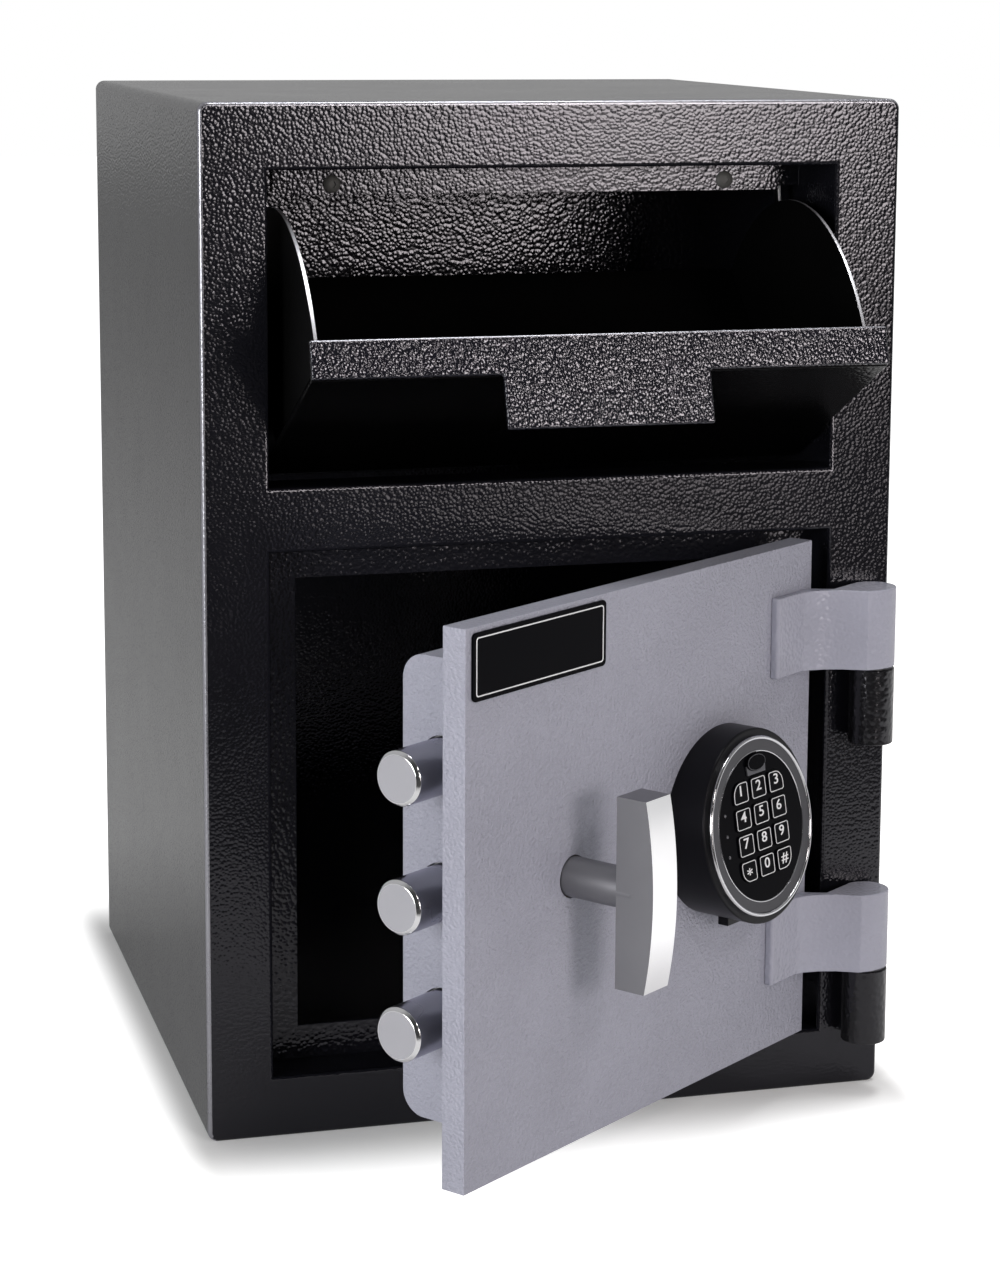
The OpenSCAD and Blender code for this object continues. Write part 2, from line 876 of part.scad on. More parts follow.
// Electronic lock's case, with a slot for its bolt and a hole for its cable
module lock_case() {
    y0 = inside_y + lock_base_t;
    slot_w = lock_bolt_w + 2 * running;
    slot_t = lock_bolt_t + 2 * running;
    color([0.7, 0.7, 0.6])
        on_door()
            difference() {
                upright(y0, lock_t)
                    translate([pad_x, 0])
                        face_rect(lock_w, lock_low_z, lock_h);
                lock_rods(screw_d + 2 * seat, y0 - past, lock_t + 2 * past);
                translate([pad_x - slot_w / 2, lock_bolt_y - slot_t / 2, lock_low_z - past])
                    cube([slot_w, slot_t, lock_slot_h + past]);
                rod_y(cable_x, y0 - past, pad_z, cable_d + 2 * seat, cable_in + 2 * past);
            }
}

// Screws that hold the lock and the hard plate
module lock_screws() {
    color([0.6, 0.6, 0.62])
        on_door() {
            lock_rods(screw_d, inside_y + seat, lock_base_t + lock_t - seat);
            lock_rods(lock_screw_head_d, inside_y + lock_base_t + lock_t, lock_screw_head_t);
        }
}

// Plate behind the cover's side wall that the three bolts slide in
module bolt_guide() {
    color([0.5, 0.5, 0.53])
        on_door()
            difference() {
                translate([guide_x, inside_y, mid_z - guide_h / 2])
                    cube([guide_t, bolt_back + bolt_d / 2 + guide_back, guide_h]);
                for (z = bolt_zs)
                    rod_x(guide_x - past, bolt_y, z, bolt_d + 2 * running, guide_t + 2 * past);
            }
}

// Bearing sleeve for the handle shaft, behind a thin front lip of the door plate
module handle_bush() {
    color([0.75, 0.7, 0.55])
        on_door()
            difference() {
                rod_y(spindle_x, plate_y + bush_recess, mid_z, bush_out_d, door_t - bush_recess);
                rod_y(spindle_x, plate_y - past, mid_z, shaft_d + 2 * running, door_t + 2 * past);
            }
}

// Round keypad housing, cut off at the lean of its face and hollow behind
module keypad_housing() {
    deep = 60;
    color([0.06, 0.06, 0.07])
        difference() {
            on_door()
                rod_y(pad_x, plate_y - deep, pad_z, housing_d, deep);
            on_keypad()
                translate([-housing_d, -housing_d, 0])
                    cube([2 * housing_d, 2 * housing_d, deep]);
            difference() {
                on_door()
                    rod_y(pad_x, plate_y - deep, pad_z, housing_d - 2 * housing_wall, deep + past);
                on_keypad()
                    translate([-housing_d, -housing_d, -front_wall])
                        cube([2 * housing_d, 2 * housing_d, 2 * deep]);
            }
            on_keypad()
                translate([0, 0, -front_wall - past])
                    cylinder(r = face_r - window_rim, h = front_wall + 2 * past);
            on_door()
                translate([pad_x - drawer_w / 2 - drawer_gap, drawer_y - drawer_gap, pad_z - housing_d])
                    cube([drawer_w + 2 * drawer_gap, drawer_d + 2 * drawer_gap + past, housing_d]);
        }
}

// Bright ring round the keypad's face
module keypad_trim_ring() {
    color([0.85, 0.85, 0.87])
        on_keypad()
            rotate_extrude($fn = 128) {
                translate([bezel_r, 0])
                    square([trim_w, trim_t - trim_w / 2]);
                translate([bezel_r + trim_w / 2, trim_t - trim_w / 2])
                    intersection() {
                        circle(trim_w / 2);
                        translate([-trim_w / 2, 0])
                            square([trim_w, trim_w / 2]);
                    }
            }
}

// Wide grey ring, sloping in towards the keys
module keypad_bezel() {
    color([0.4, 0.4, 0.4])
        on_keypad()
            rotate_extrude($fn = 128)
                polygon([
                    [face_r, 0], [bezel_r - seat, 0], [bezel_r - seat, bezel_t],
                    [face_r, face_disc_t]
                ]);
}

// Side that a corner key's large round is on, as (right, up)
function key_side(i) =
    (i == 0) ? [-1, 1] : (i == 2) ? [1, 1] : (i == 9) ? [-1, -1] : (i == 11) ? [1, -1] : [0, 0];

// A key's outline grown by g: a rounded rectangle, the corner keys with one large round
module key_outline(i, g) {
    w = key_w + 2 * g;
    h = key_h + 2 * g;
    small = key_corner + g;
    big = key_round + g;
    side = key_side(i);
    difference() {
        union() {
            square([w - 2 * small, h], center = true);
            square([w, h - 2 * small], center = true);
            for (x = [-1, 1], y = [-1, 1])
                translate([x * (w / 2 - small), y * (h / 2 - small)])
                    circle(small, $fn = 32);
        }
        if (side[0] != 0)
            difference() {
                translate([side[0] * (w - big + past) / 2, side[1] * (h - big + past) / 2])
                    square([big + past, big + past], center = true);
                translate([side[0] * (w / 2 - big), side[1] * (h / 2 - big)])
                    circle(big, $fn = 48);
            }
    }
}

// Black disc with a window for each key
module keypad_face() {
    color([0.04, 0.04, 0.05])
        on_keypad()
            linear_extrude(face_disc_t)
                difference() {
                    circle(face_r - seat, $fn = 128);
                    for (i = [0:11])
                        translate([key_col(i) * key_pitch_x, key_row(i) * key_pitch_y])
                            key_outline(i, key_gap);
                }
}

// A key: its cap in the window and its foot just above the circuit board
module key(i) {
    color([0.05, 0.05, 0.06])
        on_keypad()
            translate([key_col(i) * key_pitch_x, key_row(i) * key_pitch_y, 0]) {
                linear_extrude(face_disc_t + key_proud)
                    key_outline(i, 0);
                translate([0, 0, -key_foot_h])
                    cylinder(d = key_foot_d, h = key_foot_h);
            }
}

// Circuit board behind the keys
module circuit_board() {
    color([0.1, 0.35, 0.15])
        on_keypad()
            translate([-board_w / 2, -board_h / 2, -front_wall - board_t])
                cube([board_w, board_h, board_t]);
}

// Cable from the circuit board through the door to the lock
module lock_cable() {
    board_back = plate_y - housing_mid + (front_wall + board_t) / cos(face_lean);
    from = board_back + cable_d / 2 * tan(face_lean) + seat;
    color([0.1, 0.1, 0.1])
        on_door()
            rod_y(cable_x, from, pad_z, cable_d, inside_y + lock_base_t + cable_in - from);
}

// Battery drawer in the bottom of the keypad, with its pull tab
module battery_tray() {
    color([0.05, 0.05, 0.06])
        on_door()
            difference() {
                union() {
                    translate([pad_x - drawer_w / 2, drawer_y, drawer_z])
                        cube([drawer_w, drawer_d, drawer_h]);
                    translate([pad_x - pull_w / 2, drawer_y + pull_in, drawer_z - housing_wall - pull_low])
                        cube([pull_w, pull_t, housing_wall + pull_low + drawer_wall]);
                }
                translate([pad_x - battery_w / 2 - seat, drawer_y + drawer_wall, drawer_z + drawer_wall])
                    cube([battery_w + 2 * seat, drawer_d, battery_h + 2 * seat]);
            }
}

// Battery in its drawer
module battery() {
    color([0.5, 0.42, 0.2])
        on_door()
            translate([pad_x - battery_w / 2, drawer_y + drawer_wall + seat, drawer_z + drawer_wall + seat])
                cube([battery_w, battery_t, battery_h]);
}

// Handle shaft, from its seat in the grip through the door to its spigot in the crank
module handle_shaft() {
    from = grip_y - grip_root + seat;
    to = inside_y + cam_gap;
    color([0.55, 0.55, 0.56])
        on_door() {
            rod_y(spindle_x, from, mid_z, shaft_d, to - from);
            rod_y(spindle_x, to, mid_z, spigot_d, seat + cam_t);
        }
}

// Grip: flat sides, a flat back and a bowed front
module handle_grip() {
    end_y = -grip_end_t;
    half = grip_h / 2;
    bow_r = (half * half + grip_bow * grip_bow) / (2 * grip_bow);
    color([0.6, 0.6, 0.61])
        on_door()
            translate([spindle_x, grip_y, mid_z])
                difference() {
                    along_x(-grip_w / 2, grip_w / 2)
                        intersection() {
                            translate([end_y - grip_bow, -half])
                                square([grip_end_t + grip_bow, grip_h]);
                            translate([end_y - grip_bow + bow_r, 0])
                                circle(bow_r, $fn = 256);
                        }
                    rod_y(0, -grip_root, 0, shaft_d + 2 * seat, grip_root + past);
                }
}

// Crank on the inner end of the shaft, whose pin moves the bolt bar
module drive_cam() {
    color([0.5, 0.5, 0.53])
        on_door() {
            upright(cam_y, cam_t)
                difference() {
                    union() {
                        translate([spindle_x, mid_z])
                            circle(d = cam_hub_d);
                        translate([crank_x, crank_z])
                            circle(d = crank_boss_d);
                        translate([spindle_x, mid_z])
                            rotate([0, 0, 135])
                                translate([0, -crank_arm_w / 2])
                                    square([crank_r, crank_arm_w]);
                    }
                    translate([spindle_x, mid_z])
                        circle(d = spigot_d + 2 * seat);
                }
            rod_y(crank_x, cam_y + cam_t / 2, crank_z, crank_d, bar_y + bar_t - cam_y - cam_t / 2);
        }
}

// Sliding bar that carries the bolts: an end flange, a slotted web and the arm the lock blocks
module bolt_bar() {
    flange_deep = bolt_d - 1;
    bar_h = 2 * (bolt_pitch + bar_past);
    web_x0 = bolt_end_x + bar_t;
    slot_low = crank_z - crank_d / 2 - 1;
    slot_top = mid_z + crank_r + crank_d / 2 + 1;
    color([0.5, 0.5, 0.53])
        on_door()
            difference() {
                union() {
                    translate([bolt_end_x, bolt_y - flange_deep / 2, mid_z - bar_h / 2])
                        cube([bar_t, flange_deep, bar_h]);
                    translate([web_x0, bar_y, arm_z])
                        cube([bar_web_end - web_x0, bar_t, mid_z + bar_web_h / 2 - arm_z]);
                }
                translate([crank_x - crank_slot_w / 2, bar_y - past, slot_low])
                    cube([crank_slot_w, bar_t + 2 * past, slot_top - slot_low]);
                for (z = bolt_zs)
                    rod_x(bolt_end_x - past, bolt_y, z, bolt_screw_d + 2 * seat, bar_t + 2 * past);
            }
}

// Arm welded to the bar's edge, which the lock's own bolt stops
module bar_arm() {
    color([0.5, 0.5, 0.53])
        on_door()
            translate([bar_web_end, bar_y, arm_z])
                cube([pad_x - lock_bolt_w / 2 - arm_end_gap - bar_web_end, bar_t, arm_h]);
}

// A locking bolt: a round bar with a chamfered nose and a tapped tail
module locking_bolt(z) {
    color([0.75, 0.75, 0.78])
        on_door()
            difference() {
                union() {
                    rod_x(tip_x + bolt_nose, bolt_y, z, bolt_d, bolt_end_x - tip_x - bolt_nose);
                    translate([tip_x, bolt_y, z])
                        rotate([0, 90, 0])
                            cylinder(d1 = bolt_d - 2 * bolt_nose, d2 = bolt_d, h = bolt_nose);
                }
                rod_x(bolt_end_x - bolt_hole_deep, bolt_y, z, bolt_screw_d + 2 * seat,
                      bolt_hole_deep + past);
            }
}

module top_bolt() {
    locking_bolt(bolt_zs[0]);
}

module middle_bolt() {
    locking_bolt(bolt_zs[1]);
}

module bottom_bolt() {
    locking_bolt(bolt_zs[2]);
}

// Screws that hold the bolts to the sliding bar
module bolt_screws() {
    color([0.3, 0.3, 0.32])
        on_door()
            for (z = bolt_zs) {
                rod_x(bolt_end_x - bolt_screw_len, bolt_y, z, bolt_screw_d, bolt_screw_len + bar_t);
                rod_x(bolt_end_x + bar_t, bolt_y, z, bolt_screw_head_d, bolt_screw_head_t);
            }
}

// The lock's own bolt, drawn back into its case
module lock_bolt() {
    color([0.7, 0.6, 0.35])
        on_door()
            translate([pad_x - lock_bolt_w / 2, lock_bolt_y - lock_bolt_t / 2, lock_low_z])
                cube([lock_bolt_w, lock_bolt_t, lock_bolt_h]);
}

cabinet_shell();
back_plate();
front_frame();
door_stop_frame();
hopper_chute();
deposit_baffle();
hopper_stop_bar();
stop_bar_screws();
hopper_bushes();
hinge_knuckles();
hinge_pins();
hinge_washers();
hopper_panel();
hopper_lip();
hopper_side_left();
hopper_side_right();
hopper_tray();
hopper_pivot_pins();
door_plate();
upper_hinge_strap();
lower_hinge_strap();
boltwork_cover();
cover_posts();
cover_screws();
nameplate();
hard_plate();
lock_case();
lock_screws();
bolt_guide();
handle_bush();
keypad_housing();
keypad_trim_ring();
keypad_bezel();
keypad_face();
circuit_board();
lock_cable();
handle_shaft();
handle_grip();
drive_cam();
bolt_bar();
bar_arm();
top_bolt();
middle_bolt();
bottom_bolt();
bolt_screws();
lock_bolt();
battery_tray();
battery();
key(0);  // key_1
key(1);  // key_2
key(2);  // key_3
key(3);  // key_4
key(4);  // key_5
key(5);  // key_6
key(6);  // key_7
key(7);  // key_8
key(8);  // key_9
key(9);  // key_star
key(10);  // key_0
key(11);  // key_hash
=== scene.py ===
import math

import bmesh
import bpy
from mathutils import Matrix, Vector


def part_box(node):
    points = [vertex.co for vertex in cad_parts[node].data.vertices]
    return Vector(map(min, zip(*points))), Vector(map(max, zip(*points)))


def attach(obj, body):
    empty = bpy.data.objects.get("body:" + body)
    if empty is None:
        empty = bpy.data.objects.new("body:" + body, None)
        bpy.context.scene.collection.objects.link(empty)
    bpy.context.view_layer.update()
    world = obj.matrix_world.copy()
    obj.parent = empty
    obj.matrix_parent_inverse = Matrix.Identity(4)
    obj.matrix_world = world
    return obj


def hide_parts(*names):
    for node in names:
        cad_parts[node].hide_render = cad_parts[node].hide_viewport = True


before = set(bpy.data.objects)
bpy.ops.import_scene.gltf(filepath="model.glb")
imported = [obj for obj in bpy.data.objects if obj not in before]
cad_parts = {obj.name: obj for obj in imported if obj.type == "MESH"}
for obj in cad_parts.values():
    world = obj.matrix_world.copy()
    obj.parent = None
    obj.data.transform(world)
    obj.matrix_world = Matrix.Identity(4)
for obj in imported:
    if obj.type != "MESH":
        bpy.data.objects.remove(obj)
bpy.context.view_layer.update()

scene = bpy.context.scene
scene.view_settings.view_transform = "Standard"

# Camera. It stands to the left of the safe, a little above its top, and looks slightly down.
# A small shift keeps the safe's upright edges close to upright, as they are in the photograph.
stands_at = (-0.4179, -1.6066, 0.5653)
heading, dip, tilt = (math.radians(a) for a in (15.22, 9.11, -0.28))
ahead = Vector((math.sin(heading) * math.cos(dip), math.cos(heading) * math.cos(dip), -math.sin(dip)))
level = Vector((math.cos(heading), -math.sin(heading), 0))
below = ahead.cross(level)
across = math.cos(tilt) * level + math.sin(tilt) * below
down = math.cos(tilt) * below - math.sin(tilt) * level
lens_data = bpy.data.cameras.new("camera")
lens_data.sensor_fit = "AUTO"
lens_data.sensor_width = 36
lens_data.lens = 86.4
lens_data.shift_y = -0.12
camera = bpy.data.objects.new("camera", lens_data)
scene.collection.objects.link(camera)
place = Matrix((across, -down, -ahead)).transposed().to_4x4()
place.translation = stands_at
camera.matrix_world = place
scene.camera = camera


# Studio floor. Plain white board under the safe: it takes the soft shadow and is lifted to the white
# of the background away from it. Near the base the lift is held back, farther in front than at the
# sides, so painted shade there adds to the real shadow. Gloss paint and metal see it glow on the right,
# where the grip mirrors it, and see it end a step in front of the safe.
def new_finish(name):
    """A new material with its nodes and the links between them."""
    finish = bpy.data.materials.new(name)
    finish.use_nodes = True
    return finish, finish.node_tree.nodes, finish.node_tree.links


def ramp(nodes, links, value, span, result, kind="SMOOTHSTEP"):
    """Turns a value that runs over one span into one that runs over another."""
    step = nodes.new("ShaderNodeMapRange")
    step.interpolation_type = kind
    for title, number in zip(("From Min", "From Max", "To Min", "To Max"), (*span, *result)):
        step.inputs[title].default_value = number
    links.new(value, step.inputs["Value"])
    return step.outputs["Result"]


floor_white, nodes, links = new_finish("floor_white")
nodes.clear()
card = nodes.new("ShaderNodeBsdfDiffuse")
lift = nodes.new("ShaderNodeEmission")
lift.inputs["Color"].default_value = (1, 1, 1, 1)
rays = nodes.new("ShaderNodeLightPath")
place_on_floor = nodes.new("ShaderNodeTexCoord")
half_base = 0.178
depth_share = 0.27
far = place_on_floor.outputs["Object"]
for step, by in (("ABSOLUTE", (0, 0, 0)), ("SUBTRACT", (half_base, half_base, 0)), ("MAXIMUM", (0, 0, 0)),
                 ("MULTIPLY", (1, depth_share, 0)), ("LENGTH", (0, 0, 0))):
    sum_up = nodes.new("ShaderNodeVectorMath")
    sum_up.operation = step
    sum_up.inputs[1].default_value = by
    links.new(far, sum_up.inputs[0])
    far = sum_up.outputs["Value" if step == "LENGTH" else "Vector"]
# The lift is held back near the base, so the floor stays darker there: painted shade round the real shadow.
shadow_ends = 0.024
shadow_lift = 0.12
rise = ramp(nodes, links, far, (0.0, shadow_ends), (shadow_lift, 1.0))
sides = nodes.new("ShaderNodeSeparateXYZ")
links.new(place_on_floor.outputs["Object"], sides.inputs[0])
to_right = ramp(nodes, links, sides.outputs["X"], (0.15, 0.40), (0.0, 1.0))
to_front = ramp(nodes, links, sides.outputs["Y"], (-0.55, -0.85), (0.0, 1.0))


def combine(how, first, second, third=None):
    """One step of arithmetic on plain numbers and on what other nodes give."""
    step = nodes.new("ShaderNodeMath")
    step.operation = how
    for socket, value in zip(step.inputs, (first, second, third)):
        if isinstance(value, float):
            socket.default_value = value
        elif value is not None:
            links.new(value, socket)
    return step.outputs[0]


board_tone, tone_past_end = 0.85, 0.06
mirrored_glow = 0.5
is_gloss = rays.outputs["Is Glossy Ray"]
ended = combine("MULTIPLY", is_gloss, to_front)
on_right = combine("MULTIPLY", combine("SUBTRACT", is_gloss, ended), to_right)
to_eye = combine("MULTIPLY", rise, rays.outputs["Is Camera Ray"])
links.new(combine("MULTIPLY_ADD", on_right, mirrored_glow, to_eye), lift.inputs["Strength"])
links.new(combine("MULTIPLY_ADD", ended, tone_past_end - board_tone, board_tone), card.inputs["Color"])
both = nodes.new("ShaderNodeAddShader")
links.new(card.outputs[0], both.inputs[0])
links.new(lift.outputs[0], both.inputs[1])
output = nodes.new("ShaderNodeOutputMaterial")
links.new(both.outputs[0], output.inputs["Surface"])
floor_mesh = bpy.data.meshes.new("floor")
reach = 9.0
floor_mesh.from_pydata([(-reach, -reach, 0), (reach, -reach, 0), (reach, reach, 0), (-reach, reach, 0)],
                       [], [(0, 1, 2, 3)])
floor_mesh.materials.append(floor_white)
floor = bpy.data.objects.new("floor", floor_mesh)
scene.collection.objects.link(floor)

# Studio walls. The background is white to the camera. What gloss paint and metal see is pale behind and
# beside the safe and dim in front of it, as in a room that is dark behind the camera. Matt surfaces get
# an even, weak light from all round.
studio = bpy.data.worlds.new("studio")
scene.world = studio
studio.use_nodes = True
nodes, links = studio.node_tree.nodes, studio.node_tree.links
nodes.clear()
rays = nodes.new("ShaderNodeLightPath")
way = nodes.new("ShaderNodeTexCoord")
axes = nodes.new("ShaderNodeSeparateXYZ")
links.new(way.outputs["Generated"], axes.inputs[0])


def background(strength):
    """A white background of a fixed strength, or of one that another node gives."""
    shade = nodes.new("ShaderNodeBackground")
    shade.inputs["Color"].default_value = (1, 1, 1, 1)
    if isinstance(strength, float):
        shade.inputs["Strength"].default_value = strength
    else:
        links.new(strength, shade.inputs["Strength"])
    return shade.outputs[0]


def either(question, no, yes):
    """One background for most rays and another for those of the kind that is asked for."""
    choice = nodes.new("ShaderNodeMixShader")
    links.new(rays.outputs[question], choice.inputs["Fac"])
    links.new(no, choice.inputs[1])
    links.new(yes, choice.inputs[2])
    return choice.outputs[0]


dim, pale, weak = 0.05, 0.42, 0.27
walls = background(ramp(nodes, links, axes.outputs["Y"], (-0.75, 0.15), (dim, pale)))
seen = either("Is Camera Ray", either("Is Diffuse Ray", walls, background(weak)), background(1.0))
output = nodes.new("ShaderNodeOutputWorld")
links.new(seen, output.inputs["Surface"])


# Lamps. A large soft box well to the left lights the door and the left side. Three smaller, slightly
# warm ones right of the camera, one above the other, give the glints on the hammered paint. A long one
# overhead lights the top.
def soft_box(name, at, towards, width, height, watts, colour=(1, 1, 1)):
    """A flat lamp of the given size in metres that faces a point."""
    lamp_data = bpy.data.lights.new(name, "AREA")
    lamp_data.shape = "RECTANGLE"
    lamp_data.size = width
    lamp_data.size_y = height
    lamp_data.energy = watts
    lamp_data.color = colour
    lamp = bpy.data.objects.new(name, lamp_data)
    scene.collection.objects.link(lamp)
    lamp.location = at
    lamp.rotation_euler = (Vector(towards) - Vector(at)).to_track_quat("-Z", "Y").to_euler()


warm = (1.0, 0.93, 0.9)
soft_box("left_box", (-2.05, -1.45, 0.62), (0, -0.1, 0.2), 1.1, 1.1, 36)
soft_box("right_box", (0.66, -2.08, 0.62), (0, 0, 0.4), 0.66, 0.42, 11.6, warm)
soft_box("high_box", (0.62, -2.0, 1.53), (0, 0, 0.3), 0.36, 0.36, 6, warm)
soft_box("low_box", (0.62, -2.0, 0.2), (0, 0, 0.3), 0.36, 0.36, 1.3, warm)
soft_box("top_box", (0.4, -0.22, 2.4), (0, 0, 0.3), 0.9, 0.45, 16)


# Painted cabinet. Welded sheet steel under a hammered gloss enamel that dries in small round dimples.
# The front's outer edge and the rims of its openings are rounded. Along the top and down the left side
# the outer edge's rounding wears a lighter metallic enamel, a painted highlight.
def paint(name, colour, rough, cell, depth, patch=0.25, metallic=0.0, dimples=False, shine=0.5):
    """Sprayed paint or bare metal. Its grain has a cell size and a depth, and its gloss wanders by patch."""
    finish, nodes, links = new_finish(name)
    surface = nodes["Principled BSDF"]
    surface.inputs["Metallic"].default_value = metallic
    surface.inputs["Specular IOR Level"].default_value = shine
    surface.inputs["Specular Tint"].default_value = (0.94, 0.93, 1.0, 1)
    where = nodes.new("ShaderNodeTexCoord")
    if dimples:
        grain = nodes.new("ShaderNodeTexVoronoi")
        grain.feature = "SMOOTH_F1"
        grain.inputs["Smoothness"].default_value = 0.35
        grain.inputs["Scale"].default_value = 1 / cell
        height = grain.outputs["Distance"]
    else:
        grain = nodes.new("ShaderNodeTexNoise")
        grain.inputs["Scale"].default_value = 1 / cell
        grain.inputs["Detail"].default_value = 2.0
        grain.inputs["Roughness"].default_value = 0.45
        height = grain.outputs["Fac"]
    links.new(where.outputs["Object"], grain.inputs["Vector"])
    raised = nodes.new("ShaderNodeBump")
    raised.invert = dimples
    raised.inputs["Strength"].default_value = 1.0
    raised.inputs["Distance"].default_value = depth
    links.new(height, raised.inputs["Height"])
    links.new(raised.outputs["Normal"], surface.inputs["Normal"])
    cloud = nodes.new("ShaderNodeTexNoise")
    cloud.inputs["Scale"].default_value = 22
    cloud.inputs["Detail"].default_value = 3.0
    links.new(where.outputs["Object"], cloud.inputs["Vector"])
    smoothest, roughest = rough * (1 - patch), rough * (1 + patch)
    worn = ramp(nodes, links, cloud.outputs["Fac"], (0.0, 1.0), (smoothest, roughest), "LINEAR")
    links.new(worn, surface.inputs["Roughness"])
    tone = nodes.new("ShaderNodeMix")
    tone.data_type = "RGBA"
    for side, share in (("A", 0.9), ("B", 1.1)):
        tone.inputs[side].default_value = (*(c * share for c in colour), 1)
    links.new(cloud.outputs["Fac"], tone.inputs["Factor"])
    links.new(tone.outputs["Result"], surface.inputs["Base Color"])
    return finish


def merged(node):
    """A welded copy of a CAD node's mesh, with flat faces made whole."""
    shape = bmesh.new()
    shape.from_mesh(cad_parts[node].data)
    bmesh.ops.remove_doubles(shape, verts=shape.verts, dist=2e-6)
    bmesh.ops.dissolve_limit(shape, angle_limit=math.radians(0.6), verts=shape.verts, edges=shape.edges)
    return shape


def rounded_edges(shape, width, steps=2, only=None, least=30):
    """Rounds the edges of a shape that turn by more than the least angle."""
    chosen = [e for e in shape.edges
              if e.is_manifold and e.calc_face_angle(0) > math.radians(least)
              and (only is None or only(e.verts[0].co, e.verts[1].co))]
    bmesh.ops.bevel(shape, geom=chosen, offset=width, offset_type="OFFSET", segments=steps,
                    profile=0.5, affect="EDGES", clamp_overlap=True)


def smooth_curves(mesh):
    """Smooth where the surface curves and sharp where it turns a corner."""
    mesh.polygons.foreach_set("use_smooth", [True] * len(mesh.polygons))
    mesh.set_sharp_from_angle(angle=math.radians(38))


def made_plain(piece):
    """Works a piece's modifier into a plain mesh of its own."""
    bpy.context.view_layer.update()
    done = bpy.data.meshes.new_from_object(piece.evaluated_get(bpy.context.evaluated_depsgraph_get()))
    piece.modifiers.clear()
    piece.data = done
    done.name = piece.name
    return done


def mount(piece, body, stands_for):
    """Puts a piece on its body, in place of the CAD nodes that it stands for."""
    if stands_for:
        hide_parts(*stands_for)
    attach(piece, body)


def make_piece(name, shape, body, slot, finish, *stands_for):
    """Turns a shape into a piece with even shading, riding on its body."""
    mesh = bpy.data.meshes.new(name)
    shape.to_mesh(mesh)
    shape.free()
    mesh.materials.append(finish)
    smooth_curves(mesh)
    piece = bpy.data.objects.new(name, mesh)
    scene.collection.objects.link(piece)
    even = piece.modifiers.new("even", "WEIGHTED_NORMAL")
    even.keep_sharp = True
    even.weight = 100
    made_plain(piece)
    mount(piece, body, stands_for)
    return piece


def refinish(piece, finish, chosen):
    """Gives the chosen faces of a piece another finish."""
    piece.data.materials.append(finish)
    for polygon in piece.data.polygons:
        if chosen(polygon):
            polygon.material_index = len(piece.data.materials) - 1


hammered_enamel = paint("hammered_enamel", (0.005, 0.005, 0.007), 0.14, 0.0017, 0.00015, dimples=True)
# A lighter metallic enamel, used as a painted highlight on rounded edges.
highlight_enamel = paint("highlight_enamel", (0.32, 0.32, 0.35), 0.28, 0.0022, 0.0001, metallic=0.8, dimples=True)
front_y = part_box("front_frame")[0][1]
back_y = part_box("back_plate")[1][1]
front_round, back_round = 0.0020, 0.0016
near_top, near_left = 0.505, -0.17


def on_plane(y):
    """A test for the edges that lie wholly on the front or the back of the cabinet."""
    return lambda a, b: abs(a.y - y) < 1e-5 and abs(b.y - y) < 1e-5


def painted_highlight_rim(polygon):
    """True on the front's outer edge rounding along the top and down the left side, where a highlight is
    painted.
    """
    middle, facing = polygon.center, polygon.normal
    on_rounding = middle.y < front_y + front_round and abs(facing.y) > 0.2
    on_top = facing.z > 0.2 and middle.z > near_top
    on_left = facing.x < -0.2 and middle.x < near_left
    return on_rounding and (on_top or on_left)


front = merged("front_frame")
rounded_edges(front, front_round, steps=3, only=on_plane(front_y), least=40)
cabinet_front = make_piece("cabinet_front", front, "cabinet", "hammertone_paint", hammered_enamel,
                           "front_frame")
# The rounding along the top and down the left side gets the painted highlight.
refinish(cabinet_front, highlight_enamel, painted_highlight_rim)
make_piece("cabinet_sheet", merged("cabinet_shell"), "cabinet", "hammertone_paint", hammered_enamel,
           "cabinet_shell")
back = merged("back_plate")
rounded_edges(back, back_round, steps=3, only=on_plane(back_y), least=40)
make_piece("cabinet_back", back, "cabinet", "hammertone_paint", hammered_enamel, "back_plate")

# Door stop, chute and baffle. Plain bent strips and plates welded inside the cabinet before painting.
# They wear the same enamel, laid on thicker, so its dimples are deeper on the wall behind the hopper.
inner_enamel = paint("inner_enamel", (0.005, 0.005, 0.007), 0.15, 0.0021, 0.00023, dimples=True)
for node in ("door_stop_frame", "hopper_chute", "deposit_baffle"):
    inner = merged(node)
    rounded_edges(inner, 0.0006)
    make_piece(node + "_painted", inner, "cabinet", "hammertone_paint", inner_enamel, node)


# Hinge knuckles, pins and washers. Turned barrels welded to the face and painted with it. The steel
# pins stand up out of them into the straps, on thin dark washers. The hopper's two flanged bushes are of
# the same dark steel as the washers.
def dress(node, finish):
    """Gives a CAD node that is shown as it is the finish of the real piece."""
    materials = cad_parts[node].data.materials
    materials.clear()
    materials.append(finish)


knuckle_enamel = paint("knuckle_enamel", (0.007, 0.007, 0.008), 0.2, 0.003, 0.0003, dimples=True)
dark_steel = paint("dark_steel", (0.07, 0.07, 0.075), 0.42, 0.0012, 0.00006, metallic=0.8)
turned_steel = paint("turned_steel", (0.5, 0.5, 0.52), 0.3, 0.0009, 0.00005, metallic=1.0)
knuckles = merged("hinge_knuckles")
rounded_edges(knuckles, 0.0012, steps=3)
make_piece("knuckles_painted", knuckles, "cabinet", "hopper_paint", knuckle_enamel, "hinge_knuckles")
dress("hinge_pins", turned_steel)
dress("hinge_washers", dark_steel)
dress("hopper_bushes", dark_steel)
